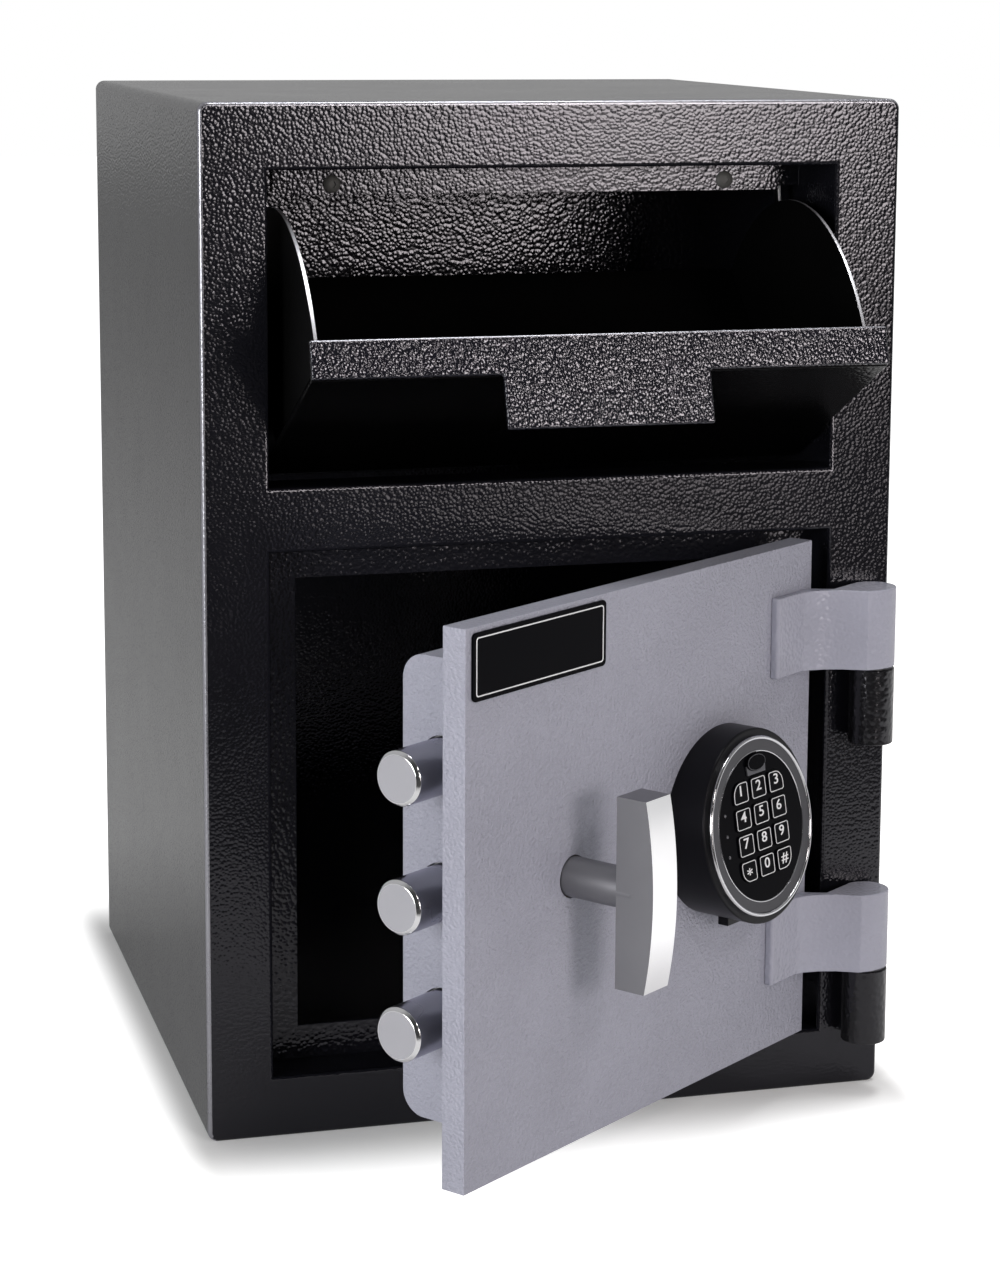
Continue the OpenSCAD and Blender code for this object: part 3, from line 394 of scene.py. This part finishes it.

# Hopper. A bent drawer of sheet steel: front panel, lip with its pull tab, two round-backed side
# plates and a sloping tray, all in one gloss black, on two steel pins. Its enamel is painted in lit and
# shaded copies: glossier and bluish on the lip, darker and duller on the panel and side plates. A lighter
# band on the lip's top edge and near-white metal on the side plates' cut edges are painted highlights.
# Copies of one gloss black enamel: darker, duller ones paint the shade on the panel and side plates, and a
# glossier, bluish one is the lit lip.
shaded_panel_enamel = paint("shaded_panel_enamel", (0.001, 0.001, 0.001), 0.2, 0.0021, 0.00015, dimples=True, shine=0.08)
lit_lip_enamel = paint("lit_lip_enamel", (0.006, 0.006, 0.009), 0.13, 0.0017, 0.0004, dimples=True, shine=0.68)
shaded_side_enamel = paint("shaded_side_enamel", (0.002, 0.002, 0.002), 0.35, 0.002, 0.0001, shine=0.15)
# Near-white metal, a painted highlight on the side plates' cut edges.
highlight_edge = paint("highlight_edge", (0.8, 0.8, 0.84), 0.35, 0.0012, 0.00006, metallic=0.9)
lip = merged("hopper_lip")
rounded_edges(lip, 0.0011, steps=3)
lip_painted = make_piece("lip_painted", lip, "hopper", "hopper_paint", lit_lip_enamel, "hopper_lip")
lip_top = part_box("hopper_lip")[1][2]
highlight_band = 0.002
# A narrow band along the lip's top edge gets the painted highlight.
refinish(lip_painted, highlight_enamel, lambda p: p.center.z > lip_top - highlight_band and p.normal.z > 0.2)
panel = merged("hopper_panel")
rounded_edges(panel, 0.0008)
make_piece("panel_painted", panel, "hopper", "hopper_paint", shaded_panel_enamel, "hopper_panel")
for node in ("hopper_side_left", "hopper_side_right", "hopper_tray"):
    sheet = merged(node)
    rounded_edges(sheet, 0.0003)
    sheet_painted = make_piece(node + "_painted", sheet, "hopper", "hopper_paint", shaded_side_enamel, node)
    if node != "hopper_tray":
        # The side plates' edges get the painted highlight.
        refinish(sheet_painted, highlight_edge, lambda p: abs(p.normal.x) < 0.2)
dress("hopper_pivot_pins", turned_steel)

# Stop bar. A strip under the ceiling that the hopper's lip shuts against, painted with the cabinet and
# held by two black socket screws. One tree makes every domed screw on the safe: a flattened ball cut
# off at its seat, a six-sided socket sunk in its crown, and a plain shank behind.
bar = merged("hopper_stop_bar")
rounded_edges(bar, 0.0006)
make_piece("stop_bar_painted", bar, "cabinet", "hopper_paint", hammered_enamel, "hopper_stop_bar")


def start_tree(name, inputs, parts):
    """A new tree with its named inputs, and its nodes by short names."""
    tree = bpy.data.node_groups.new(name, "GeometryNodeTree")
    face = tree.interface
    face.new_socket("Geometry", in_out="INPUT", socket_type="NodeSocketGeometry")
    for title, kind, start in inputs:
        socket = face.new_socket(title, in_out="INPUT", socket_type=kind)
        if start is not None:
            socket.default_value = start
    face.new_socket("Geometry", in_out="OUTPUT", socket_type="NodeSocketGeometry")
    return tree, {key: tree.nodes.new(kind) for key, kind in parts.items()}


def wire(tree, kit, pairs):
    """Links the nodes of a tree, each pair from an output to an input."""
    for source, target in pairs:
        tree.links.new(kit[source[0]].outputs[source[1]], kit[target[0]].inputs[target[1]])


screw_tree, kit = start_tree(
    "domed_screws",
    (("Head radius", "NodeSocketFloat", 0.0045), ("Head height", "NodeSocketFloat", 0.0022),
     ("Socket radius", "NodeSocketFloat", 0.0016), ("Shank radius", "NodeSocketFloat", 0.0025),
     ("Shank length", "NodeSocketFloat", 0.008), ("Turn", "NodeSocketRotation", None),
     ("Finish", "NodeSocketMaterial", None)),
    {"in": "NodeGroupInput", "ball": "GeometryNodeMeshUVSphere", "squash": "GeometryNodeTransform",
     "size": "ShaderNodeCombineXYZ", "block": "GeometryNodeMeshCube",
     "block_down": "GeometryNodeTransform", "hex": "GeometryNodeMeshCylinder",
     "hex_up": "GeometryNodeTransform", "hex_at": "ShaderNodeCombineXYZ",
     "cut": "GeometryNodeMeshBoolean", "shank": "GeometryNodeMeshCylinder", "half": "ShaderNodeMath",
     "shank_at": "ShaderNodeCombineXYZ", "shank_down": "GeometryNodeTransform",
     "join": "GeometryNodeJoinGeometry", "copy": "GeometryNodeInstanceOnPoints",
     "real": "GeometryNodeRealizeInstances", "paint": "GeometryNodeSetMaterial",
     "out": "NodeGroupOutput"})
block_side = 0.1
kit["ball"].inputs["Segments"].default_value = 32
kit["ball"].inputs["Rings"].default_value = 16
kit["ball"].inputs["Radius"].default_value = 1.0
kit["block"].inputs["Size"].default_value = (block_side, block_side, block_side)
kit["block_down"].inputs["Translation"].default_value = (0, 0, -block_side / 2)
kit["hex"].inputs["Vertices"].default_value = 6
kit["hex"].inputs["Depth"].default_value = 0.002
kit["cut"].operation = "DIFFERENCE"
kit["shank"].inputs["Vertices"].default_value = 24
kit["half"].operation = "MULTIPLY"
kit["half"].inputs[1].default_value = -0.5
wire(screw_tree, kit, [
    (("in", "Head radius"), ("size", "X")), (("in", "Head radius"), ("size", "Y")),
    (("in", "Head height"), ("size", "Z")), (("ball", "Mesh"), ("squash", "Geometry")),
    (("size", "Vector"), ("squash", "Scale")), (("squash", "Geometry"), ("cut", "Mesh 1")),
    (("block", "Mesh"), ("block_down", "Geometry")), (("block_down", "Geometry"), ("cut", "Mesh 2")),
    (("in", "Socket radius"), ("hex", "Radius")), (("hex", "Mesh"), ("hex_up", "Geometry")),
    (("in", "Head height"), ("hex_at", "Z")), (("hex_at", "Vector"), ("hex_up", "Translation")),
    (("hex_up", "Geometry"), ("cut", "Mesh 2")), (("in", "Shank radius"), ("shank", "Radius")),
    (("in", "Shank length"), ("shank", "Depth")), (("in", "Shank length"), ("half", 0)),
    (("half", "Value"), ("shank_at", "Z")), (("shank", "Mesh"), ("shank_down", "Geometry")),
    (("shank_at", "Vector"), ("shank_down", "Translation")), (("cut", "Mesh"), ("join", "Geometry")),
    (("shank_down", "Geometry"), ("join", "Geometry")), (("in", "Geometry"), ("copy", "Points")),
    (("join", "Geometry"), ("copy", "Instance")), (("in", "Turn"), ("copy", "Rotation")),
    (("copy", "Instances"), ("real", "Geometry")), (("real", "Geometry"), ("paint", "Geometry")),
    (("in", "Finish"), ("paint", "Material")), (("paint", "Geometry"), ("out", "Geometry"))])


def grown(name, start, tree, values, body, slot, *stands_for):
    """Runs a tree on a starting mesh and keeps the result as a plain piece."""
    piece = bpy.data.objects.new(name, start)
    scene.collection.objects.link(piece)
    maker = piece.modifiers.new("maker", "NODES")
    maker.node_group = tree
    for item in tree.interface.items_tree:
        if item.item_type == "SOCKET" and item.in_out == "INPUT" and item.name in values:
            maker[item.identifier] = values[item.name]
    smooth_curves(made_plain(piece))
    mount(piece, body, stands_for)


def seats(name, points):
    """Loose points, one where each copy of a small part sits."""
    mesh = bpy.data.meshes.new(name)
    mesh.from_pydata([tuple(p) for p in points], [], [])
    return mesh


black_oxide = paint("black_oxide", (0.1, 0.1, 0.095), 0.6, 0.0012, 0.00004, metallic=0.3)
bar_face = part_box("hopper_stop_bar")[0][1]
screw_low, screw_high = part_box("stop_bar_screws")
screw_z = (screw_low[2] + screw_high[2]) / 2
head_r = (screw_high[2] - screw_low[2]) / 2
screw_x = screw_high[0] - head_r
grown("stop_bar_domes", seats("stop_bar_seats", [(x, bar_face, screw_z) for x in (-screw_x, screw_x)]),
      screw_tree, {"Head radius": head_r, "Head height": bar_face - screw_low[1], "Socket radius": 0.0019,
                   "Shank radius": 0.0025, "Shank length": screw_high[1] - bar_face,
                   "Turn": (math.pi / 2, 0, 0), "Finish": black_oxide},
      "cabinet", "dark_screws", "stop_bar_screws")

# Door plate, hinge straps and boltwork cover. A thick flame-cut plate with bent straps welded on and a
# folded sheet cover behind, all in one light grey powder coat. It is glossier and coarser on the straps.
powder = (0.325, 0.33, 0.395)
door_grey = paint("door_grey", powder, 0.4, 0.0016, 0.0011, patch=0.12)
strap_grey = paint("strap_grey", powder, 0.24, 0.0021, 0.0003, patch=0.12, dimples=True)
for node, edge, finish in (("door_plate", 0.0009, door_grey), ("upper_hinge_strap", 0.0011, strap_grey),
                           ("lower_hinge_strap", 0.0011, strap_grey), ("boltwork_cover", 0.0011, door_grey)):
    sheet = merged(node)
    rounded_edges(sheet, edge, steps=3)
    make_piece(node + "_coated", sheet, "door", "door_paint", finish, node)

# Cover screws. Four domed socket screws hold the cover to round posts on the plate. Their places are
# worked out on the shut door, as all places on the door are, and then turned round the hinge pins.
open_by = math.radians(37)
pins_at = Vector((0.1648, -0.1903, 0))
door_turn = Matrix.Translation(pins_at) @ Matrix.Rotation(open_by, 4, "Z") @ Matrix.Translation(-pins_at)
set_back, plate_thick, cover_deep = 0.010, 0.0127, 0.0423
plate_y = front_y + set_back
cover_back = plate_y + plate_thick + cover_deep
screw_steel = paint("screw_steel", (0.55, 0.55, 0.58), 0.3, 0.001, 0.00005, metallic=1.0)
cover_points = [door_turn @ Vector((x, cover_back, z)) for x in (-0.102, 0.107) for z in (0.0761, 0.2515)]
grown("cover_domes", seats("cover_seats", cover_points), screw_tree,
      {"Head radius": 0.004, "Head height": 0.0018, "Socket radius": 0.0015, "Shank radius": 0.0025,
       "Shank length": 0.012, "Turn": (-math.pi / 2, 0, open_by), "Finish": screw_steel},
      "door", "machined_steel", "cover_screws")


# Nameplate. A gloss black plate with rounded corners, glued on, with a thin silver line inside its
# edge. It is left bare.
def rounded_outline(width, height, radius, steps, large=None, corner=None):
    """A rectangle with rounded corners, one of which may be rounded more than the rest."""
    points = []
    for sx, sy, first in ((1, 1, 0), (-1, 1, 90), (-1, -1, 180), (1, -1, 270)):
        bend = large if (sx, sy) == corner else radius
        for k in range(steps + 1):
            a = math.radians(first + 90 * k / steps)
            points.append((sx * (width / 2 - bend) + bend * math.cos(a),
                           sy * (height / 2 - bend) + bend * math.sin(a)))
    return points


def slab(points, low, high, place):
    """A closed flat plate on an outline, from low to high above its own plane, put in place."""
    shape = bmesh.new()
    bottom = shape.faces.new([shape.verts.new((x, y, low)) for x, y in points])
    grown_up = bmesh.ops.extrude_face_region(shape, geom=[bottom])
    bmesh.ops.translate(shape, vec=(0, 0, high - low),
                        verts=[v for v in grown_up["geom"] if isinstance(v, bmesh.types.BMVert)])
    bmesh.ops.recalc_face_normals(shape, faces=shape.faces)
    bmesh.ops.transform(shape, matrix=place, verts=shape.verts)
    return shape


line_tree, kit = start_tree(
    "printed_line",
    (("Line radius", "NodeSocketFloat", 0.0003), ("Line sides", "NodeSocketInt", 6),
     ("Finish", "NodeSocketMaterial", None)),
    {"in": "NodeGroupInput", "path": "GeometryNodeMeshToCurve",
     "round": "GeometryNodeCurvePrimitiveCircle", "sweep": "GeometryNodeCurveToMesh",
     "real": "GeometryNodeRealizeInstances", "paint": "GeometryNodeSetMaterial",
     "out": "NodeGroupOutput"})
wire(line_tree, kit, [
    (("in", "Geometry"), ("path", "Mesh")), (("in", "Line radius"), ("round", "Radius")),
    (("in", "Line sides"), ("round", "Resolution")), (("path", "Curve"), ("sweep", "Curve")),
    (("round", "Curve"), ("sweep", "Profile Curve")), (("sweep", "Mesh"), ("real", "Geometry")),
    (("real", "Geometry"), ("paint", "Geometry")), (("in", "Finish"), ("paint", "Material")),
    (("paint", "Geometry"), ("out", "Geometry"))])


def print_line(name, points, place, finish, body, slot, height, radius, sides):
    """A thin line through points at one height, closed on itself and laid on a piece."""
    count = len(points)
    path = bpy.data.meshes.new(name + "_path")
    path.from_pydata([tuple(place @ Vector((x, y, height))) for x, y in points],
                     [(k, (k + 1) % count) for k in range(count)], [])
    grown(name, path, line_tree, {"Line radius": radius, "Line sides": sides, "Finish": finish}, body, slot)


nameplate_black = paint("nameplate_black", (0.002, 0.002, 0.003), 0.16, 0.004, 0.00002, shine=0.02)
printed_silver = paint("printed_silver", (0.85, 0.85, 0.87), 0.4, 0.001, 0.00003, metallic=0.3)
name_place = (door_turn @ Matrix.Translation((-0.0875, plate_y, 0.2751))
              @ Matrix.Rotation(math.radians(90), 4, "X"))
name_thick = 0.0012
name_outline = rounded_outline(width=0.099, height=0.031, radius=0.0026, steps=6)
name_line = rounded_outline(width=0.0940, height=0.0262, radius=0.0014, steps=6)
name_shape = slab(name_outline, 0, name_thick, name_place)
rounded_edges(name_shape, 0.0003, least=60)
make_piece("bare_nameplate", name_shape, "door", "nameplate_black", nameplate_black, "nameplate")
print_line("nameplate_line", name_line, name_place, printed_silver, "door", "nameplate_black",
           height=0.0011, radius=0.00036, sides=8)

# Lock and boltwork. A cast lock case on its hard plate, a zinc-plated sliding bar and guide, a brass
# lock bolt and the keypad's cable, all hidden by the cover. Only the bronze sleeve round the handle's
# shaft shows, in the door's face.
bearing_bronze = paint("bearing_bronze", (0.62, 0.42, 0.2), 0.36, 0.0012, 0.00006, metallic=1.0)
cast_zinc = paint("cast_zinc", (0.55, 0.55, 0.52), 0.45, 0.0015, 0.0001, metallic=0.8)
hard_steel = paint("hard_steel", (0.2, 0.2, 0.21), 0.5, 0.002, 0.0001, metallic=0.8)
lock_brass = paint("lock_brass", (0.68, 0.5, 0.22), 0.3, 0.001, 0.00005, metallic=1.0)
cable_black = paint("cable_black", (0.015, 0.015, 0.016), 0.55, 0.001, 0.00005)
for node, finish in (("cover_posts", turned_steel), ("hard_plate", hard_steel), ("lock_case", cast_zinc),
                     ("lock_screws", screw_steel), ("bolt_guide", turned_steel),
                     ("handle_bush", bearing_bronze), ("lock_cable", cable_black),
                     ("drive_cam", turned_steel), ("bolt_bar", turned_steel), ("bar_arm", turned_steel),
                     ("bolt_screws", black_oxide), ("lock_bolt", lock_brass)):
    dress(node, finish)

# Locking bolts. Three turned and plated steel bars, one inch thick, with a bright chamfer round a
# finely faced end.
bolt_side = paint("bolt_side", (0.36, 0.36, 0.39), 0.27, 0.0012, 0.00005, metallic=1.0)
bolt_face = paint("bolt_face", (0.40, 0.40, 0.43), 0.5, 0.003, 0.00003, metallic=0.6)
bolt_bright = paint("bolt_bright", (0.88, 0.88, 0.9), 0.12, 0.001, 0.00002, metallic=1.0)
inward = (door_turn.to_3x3() @ Vector((1, 0, 0))).normalized()
flat, chamfered = 0.98, 0.35
for node in ("top_bolt", "middle_bolt", "bottom_bolt"):
    bolt = merged(node)
    rounded_edges(bolt, 0.0003, least=35)
    bolt_plated = make_piece(node + "_plated", bolt, "boltwork", "bolt_chrome", bolt_side, node)
    refinish(bolt_plated, bolt_face, lambda p: -p.normal.dot(inward) > flat)
    refinish(bolt_plated, bolt_bright, lambda p: flat >= -p.normal.dot(inward) > chamfered)

# Handle. A turned shaft and a forged grip with satin flanks and a bowed front that is polished to a
# mirror, plugged on to the shaft.
satin_metal = paint("satin_metal", (0.2, 0.2, 0.213), 0.42, 0.0008, 0.00002, patch=0.1, metallic=0.7)
mirror_chrome = paint("mirror_chrome", (0.9, 0.9, 0.91), 0.05, 0.02, 0.00002, metallic=1.0)
make_piece("handle_rod", merged("handle_shaft"), "handle", "satin_steel", satin_metal, "handle_shaft")
grip = merged("handle_grip")
rounded_edges(grip, 0.0008, steps=4, least=40)
handle_bar = make_piece("handle_bar", grip, "handle", "handle_chrome", satin_metal, "handle_grip")
outward = (door_turn.to_3x3() @ Vector((0, -1, 0))).normalized()
refinish(handle_bar, mirror_chrome, lambda p: p.normal.dot(outward) > 0.9)

# Keypad housing. A moulded black case that leans back, with a rounded rim, on the door's face. Its
# battery drawer slides out at the bottom on a short pull tab. The circuit board is behind the keys.
pad_out, pad_lean = 0.0235, math.radians(81)
pad_turn = (door_turn @ Matrix.Translation((0.060, plate_y - pad_out, 0.1658))
            @ Matrix.Rotation(pad_lean, 4, "X"))
pad_back = pad_turn.inverted()
inside_rim = 0.0445
housing_black = paint("housing_black", (0.003, 0.003, 0.004), 0.34, 0.0008, 0.00005, shine=0.18)
battery_jacket = paint("battery_jacket", (0.3, 0.22, 0.07), 0.35, 0.004, 0.00003, metallic=0.6)
board_green = paint("board_green", (0.02, 0.13, 0.05), 0.3, 0.003, 0.00004)


def on_rim(a, b):
    """True on the case's outer rim, which lies in the keypad's own plane."""
    return all(abs(p.z) < 2e-5 and p.xy.length > inside_rim for p in (pad_back @ a, pad_back @ b))


case = merged("keypad_housing")
rounded_edges(case, 0.0009, steps=3, only=on_rim, least=50)
make_piece("keypad_case", case, "door", "housing_plastic", housing_black, "keypad_housing")
drawer = merged("battery_tray")
rounded_edges(drawer, 0.0004)
make_piece("battery_drawer_moulded", drawer, "battery_drawer", "housing_plastic", housing_black,
           "battery_tray")
dress("battery", battery_jacket)
dress("circuit_board", board_green)

# Keypad rings and face. A bright chrome ring, a wide satin grey ring inside it that slopes in a little,
# and a gloss black disc with a window for each key and a thin bright line round its edge.
face_top = 0.0014
ring_chrome = paint("ring_chrome", (0.62, 0.62, 0.64), 0.12, 0.01, 0.00002, metallic=1.0)
ring_grey = paint("ring_grey", (0.052, 0.052, 0.058), 0.38, 0.0009, 0.00002, metallic=0.3)
face_black = paint("face_black", (0.002, 0.002, 0.003), 0.16, 0.01, 0.00001, shine=0.02)
make_piece("chrome_ring", merged("keypad_trim_ring"), "door", "trim_chrome", ring_chrome, "keypad_trim_ring")
make_piece("grey_ring", merged("keypad_bezel"), "door", "bezel_grey", ring_grey, "keypad_bezel")
make_piece("face_disc", merged("keypad_face"), "door", "face_gloss", face_black, "keypad_face")


def oval(half_width, half_height, middle, count):
    """Points round an oval, with its middle so far above the keypad's."""
    turns = [math.radians(360 * k / count) for k in range(count)]
    return [(half_width * math.cos(a), middle + half_height * math.sin(a)) for a in turns]


print_line("inner_bright_line", oval(0.0366, 0.0366, 0, 96), pad_turn, ring_chrome, "door", "trim_chrome",
           height=face_top, radius=0.00035, sides=8)

# Keys. Twelve rubber caps, each with a white line round it and a white figure. The corner keys have
# one large round. Each cap and what is printed on it move together.
key_black = paint("key_black", (0.002, 0.002, 0.003), 0.42, 0.0009, 0.00003, shine=0.03)
printed_white = paint("printed_white", (0.78, 0.78, 0.8), 0.5, 0.001, 0.00002)
key_top = face_top + 0.0009


def figure(name, sign, height, centre):
    """A printed figure as a closed mesh, centred on a point of the keypad's face."""
    letter = bpy.data.curves.new(name, "FONT")
    letter.body = sign
    letter.size = 1.0
    letter.extrude = 0.5
    letter.offset = 0.008
    letter.resolution_u = 3
    writer = bpy.data.objects.new(name, letter)
    scene.collection.objects.link(writer)
    bpy.context.view_layer.update()
    mesh = bpy.data.meshes.new_from_object(writer.evaluated_get(bpy.context.evaluated_depsgraph_get()))
    bpy.data.objects.remove(writer)
    shape = bmesh.new()
    shape.from_mesh(mesh)
    bpy.data.meshes.remove(mesh)
    low = Vector([min(v.co[i] for v in shape.verts) for i in range(3)])
    high = Vector([max(v.co[i] for v in shape.verts) for i in range(3)])
    middle = (low + high) / 2
    grow = height / (high.y - low.y)
    widen, thick = 1.4, 0.00025
    bmesh.ops.translate(shape, vec=-middle, verts=shape.verts)
    bmesh.ops.scale(shape, vec=(widen * grow, grow, thick / (high.z - low.z)), verts=shape.verts)
    bmesh.ops.translate(shape, vec=(centre[0], centre[1], key_top), verts=shape.verts)
    bmesh.ops.transform(shape, matrix=pad_turn, verts=shape.verts)
    bmesh.ops.remove_doubles(shape, verts=shape.verts, dist=1e-7)
    return shape


key_width, key_height, line_in = 0.0128, 0.0106, 0.0012
corner_small, corner_large = 0.0012, 0.0062
column, row = 0.0156, 0.0128
corners = {0: (-1, 1), 2: (1, 1), 9: (-1, -1), 11: (1, -1)}
keys = ("1", "2", "3", "4", "5", "6", "7", "8", "9", "star", "0", "hash")
for i, (key, sign) in enumerate(zip(keys, "123456789*0#")):
    body = "button_" + key
    x, y = (i % 3 - 1) * column, (1.5 - i // 3) * row
    cap = merged("key_" + key)
    rounded_edges(cap, 0.00025, least=50)
    make_piece("cap_" + key, cap, body, "key_rubber", key_black, "key_" + key)
    border = rounded_outline(key_width - line_in, key_height - line_in, corner_small, steps=8,
                             large=corner_large, corner=corners.get(i))
    print_line("cap_line_" + key, [(x + a, y + b) for a, b in border], pad_turn, printed_white, body,
               "key_rubber", height=key_top, radius=0.00023, sides=6)
    tall = 0.0036 if sign == "*" else 0.0051
    up = 0.0 if sign in "*#" else 0.0011
    make_piece("cap_figure_" + key, figure("figure_" + key, sign, tall, (x, y + up)), body, "key_rubber",
               printed_white)

# Badge and light dots. A small bare badge on a dark metal foot above the keys, with a thin line round
# it, and three grey lenses in a column to the left of the keys.
badge_grey = paint("badge_grey", (0.1, 0.1, 0.11), 0.35, 0.001, 0.00002, metallic=0.5)
lens_grey = paint("lens_grey", (0.1, 0.1, 0.11), 0.25, 0.001, 0.00002)
badge_y = 0.0315
foot_low, foot_high = 0.0260, 0.0306
foot = slab([(-0.0078, foot_low), (0.0078, foot_low), (0.0082, foot_high), (-0.0082, foot_high)],
            face_top, 0.0022, pad_turn)
rounded_edges(foot, 0.0002, least=50)
make_piece("badge_foot", foot, "door", "trim_chrome", badge_grey)
badge = slab(oval(0.0080, 0.0042, badge_y, 48), face_top, 0.0030, pad_turn)
rounded_edges(badge, 0.0006, steps=3, least=50)
make_piece("bare_badge", badge, "door", "face_gloss", nameplate_black)
print_line("badge_line", oval(0.0074, 0.0037, badge_y, 48), pad_turn, badge_grey, "door", "trim_chrome",
           height=0.0029, radius=0.00018, sides=6)
dot_tree, kit = start_tree(
    "light_dots",
    (("Dot radius", "NodeSocketFloat", 0.0009), ("Finish", "NodeSocketMaterial", None)),
    {"in": "NodeGroupInput", "ball": "GeometryNodeMeshIcoSphere",
     "copy": "GeometryNodeInstanceOnPoints", "real": "GeometryNodeRealizeInstances",
     "paint": "GeometryNodeSetMaterial", "out": "NodeGroupOutput"})
kit["ball"].inputs["Subdivisions"].default_value = 3
wire(dot_tree, kit, [
    (("in", "Dot radius"), ("ball", "Radius")), (("in", "Geometry"), ("copy", "Points")),
    (("ball", "Mesh"), ("copy", "Instance")), (("copy", "Instances"), ("real", "Geometry")),
    (("real", "Geometry"), ("paint", "Geometry")), (("in", "Finish"), ("paint", "Material")),
    (("paint", "Geometry"), ("out", "Geometry"))])
dot_points = [pad_turn @ Vector((-0.0296, y, 0.0010)) for y in (0.0109, 0.0007, -0.0093)]
grown("light_dots", seats("dot_seats", dot_points), dot_tree, {"Dot radius": 0.0009, "Finish": lens_grey},
      "door", "face_gloss")
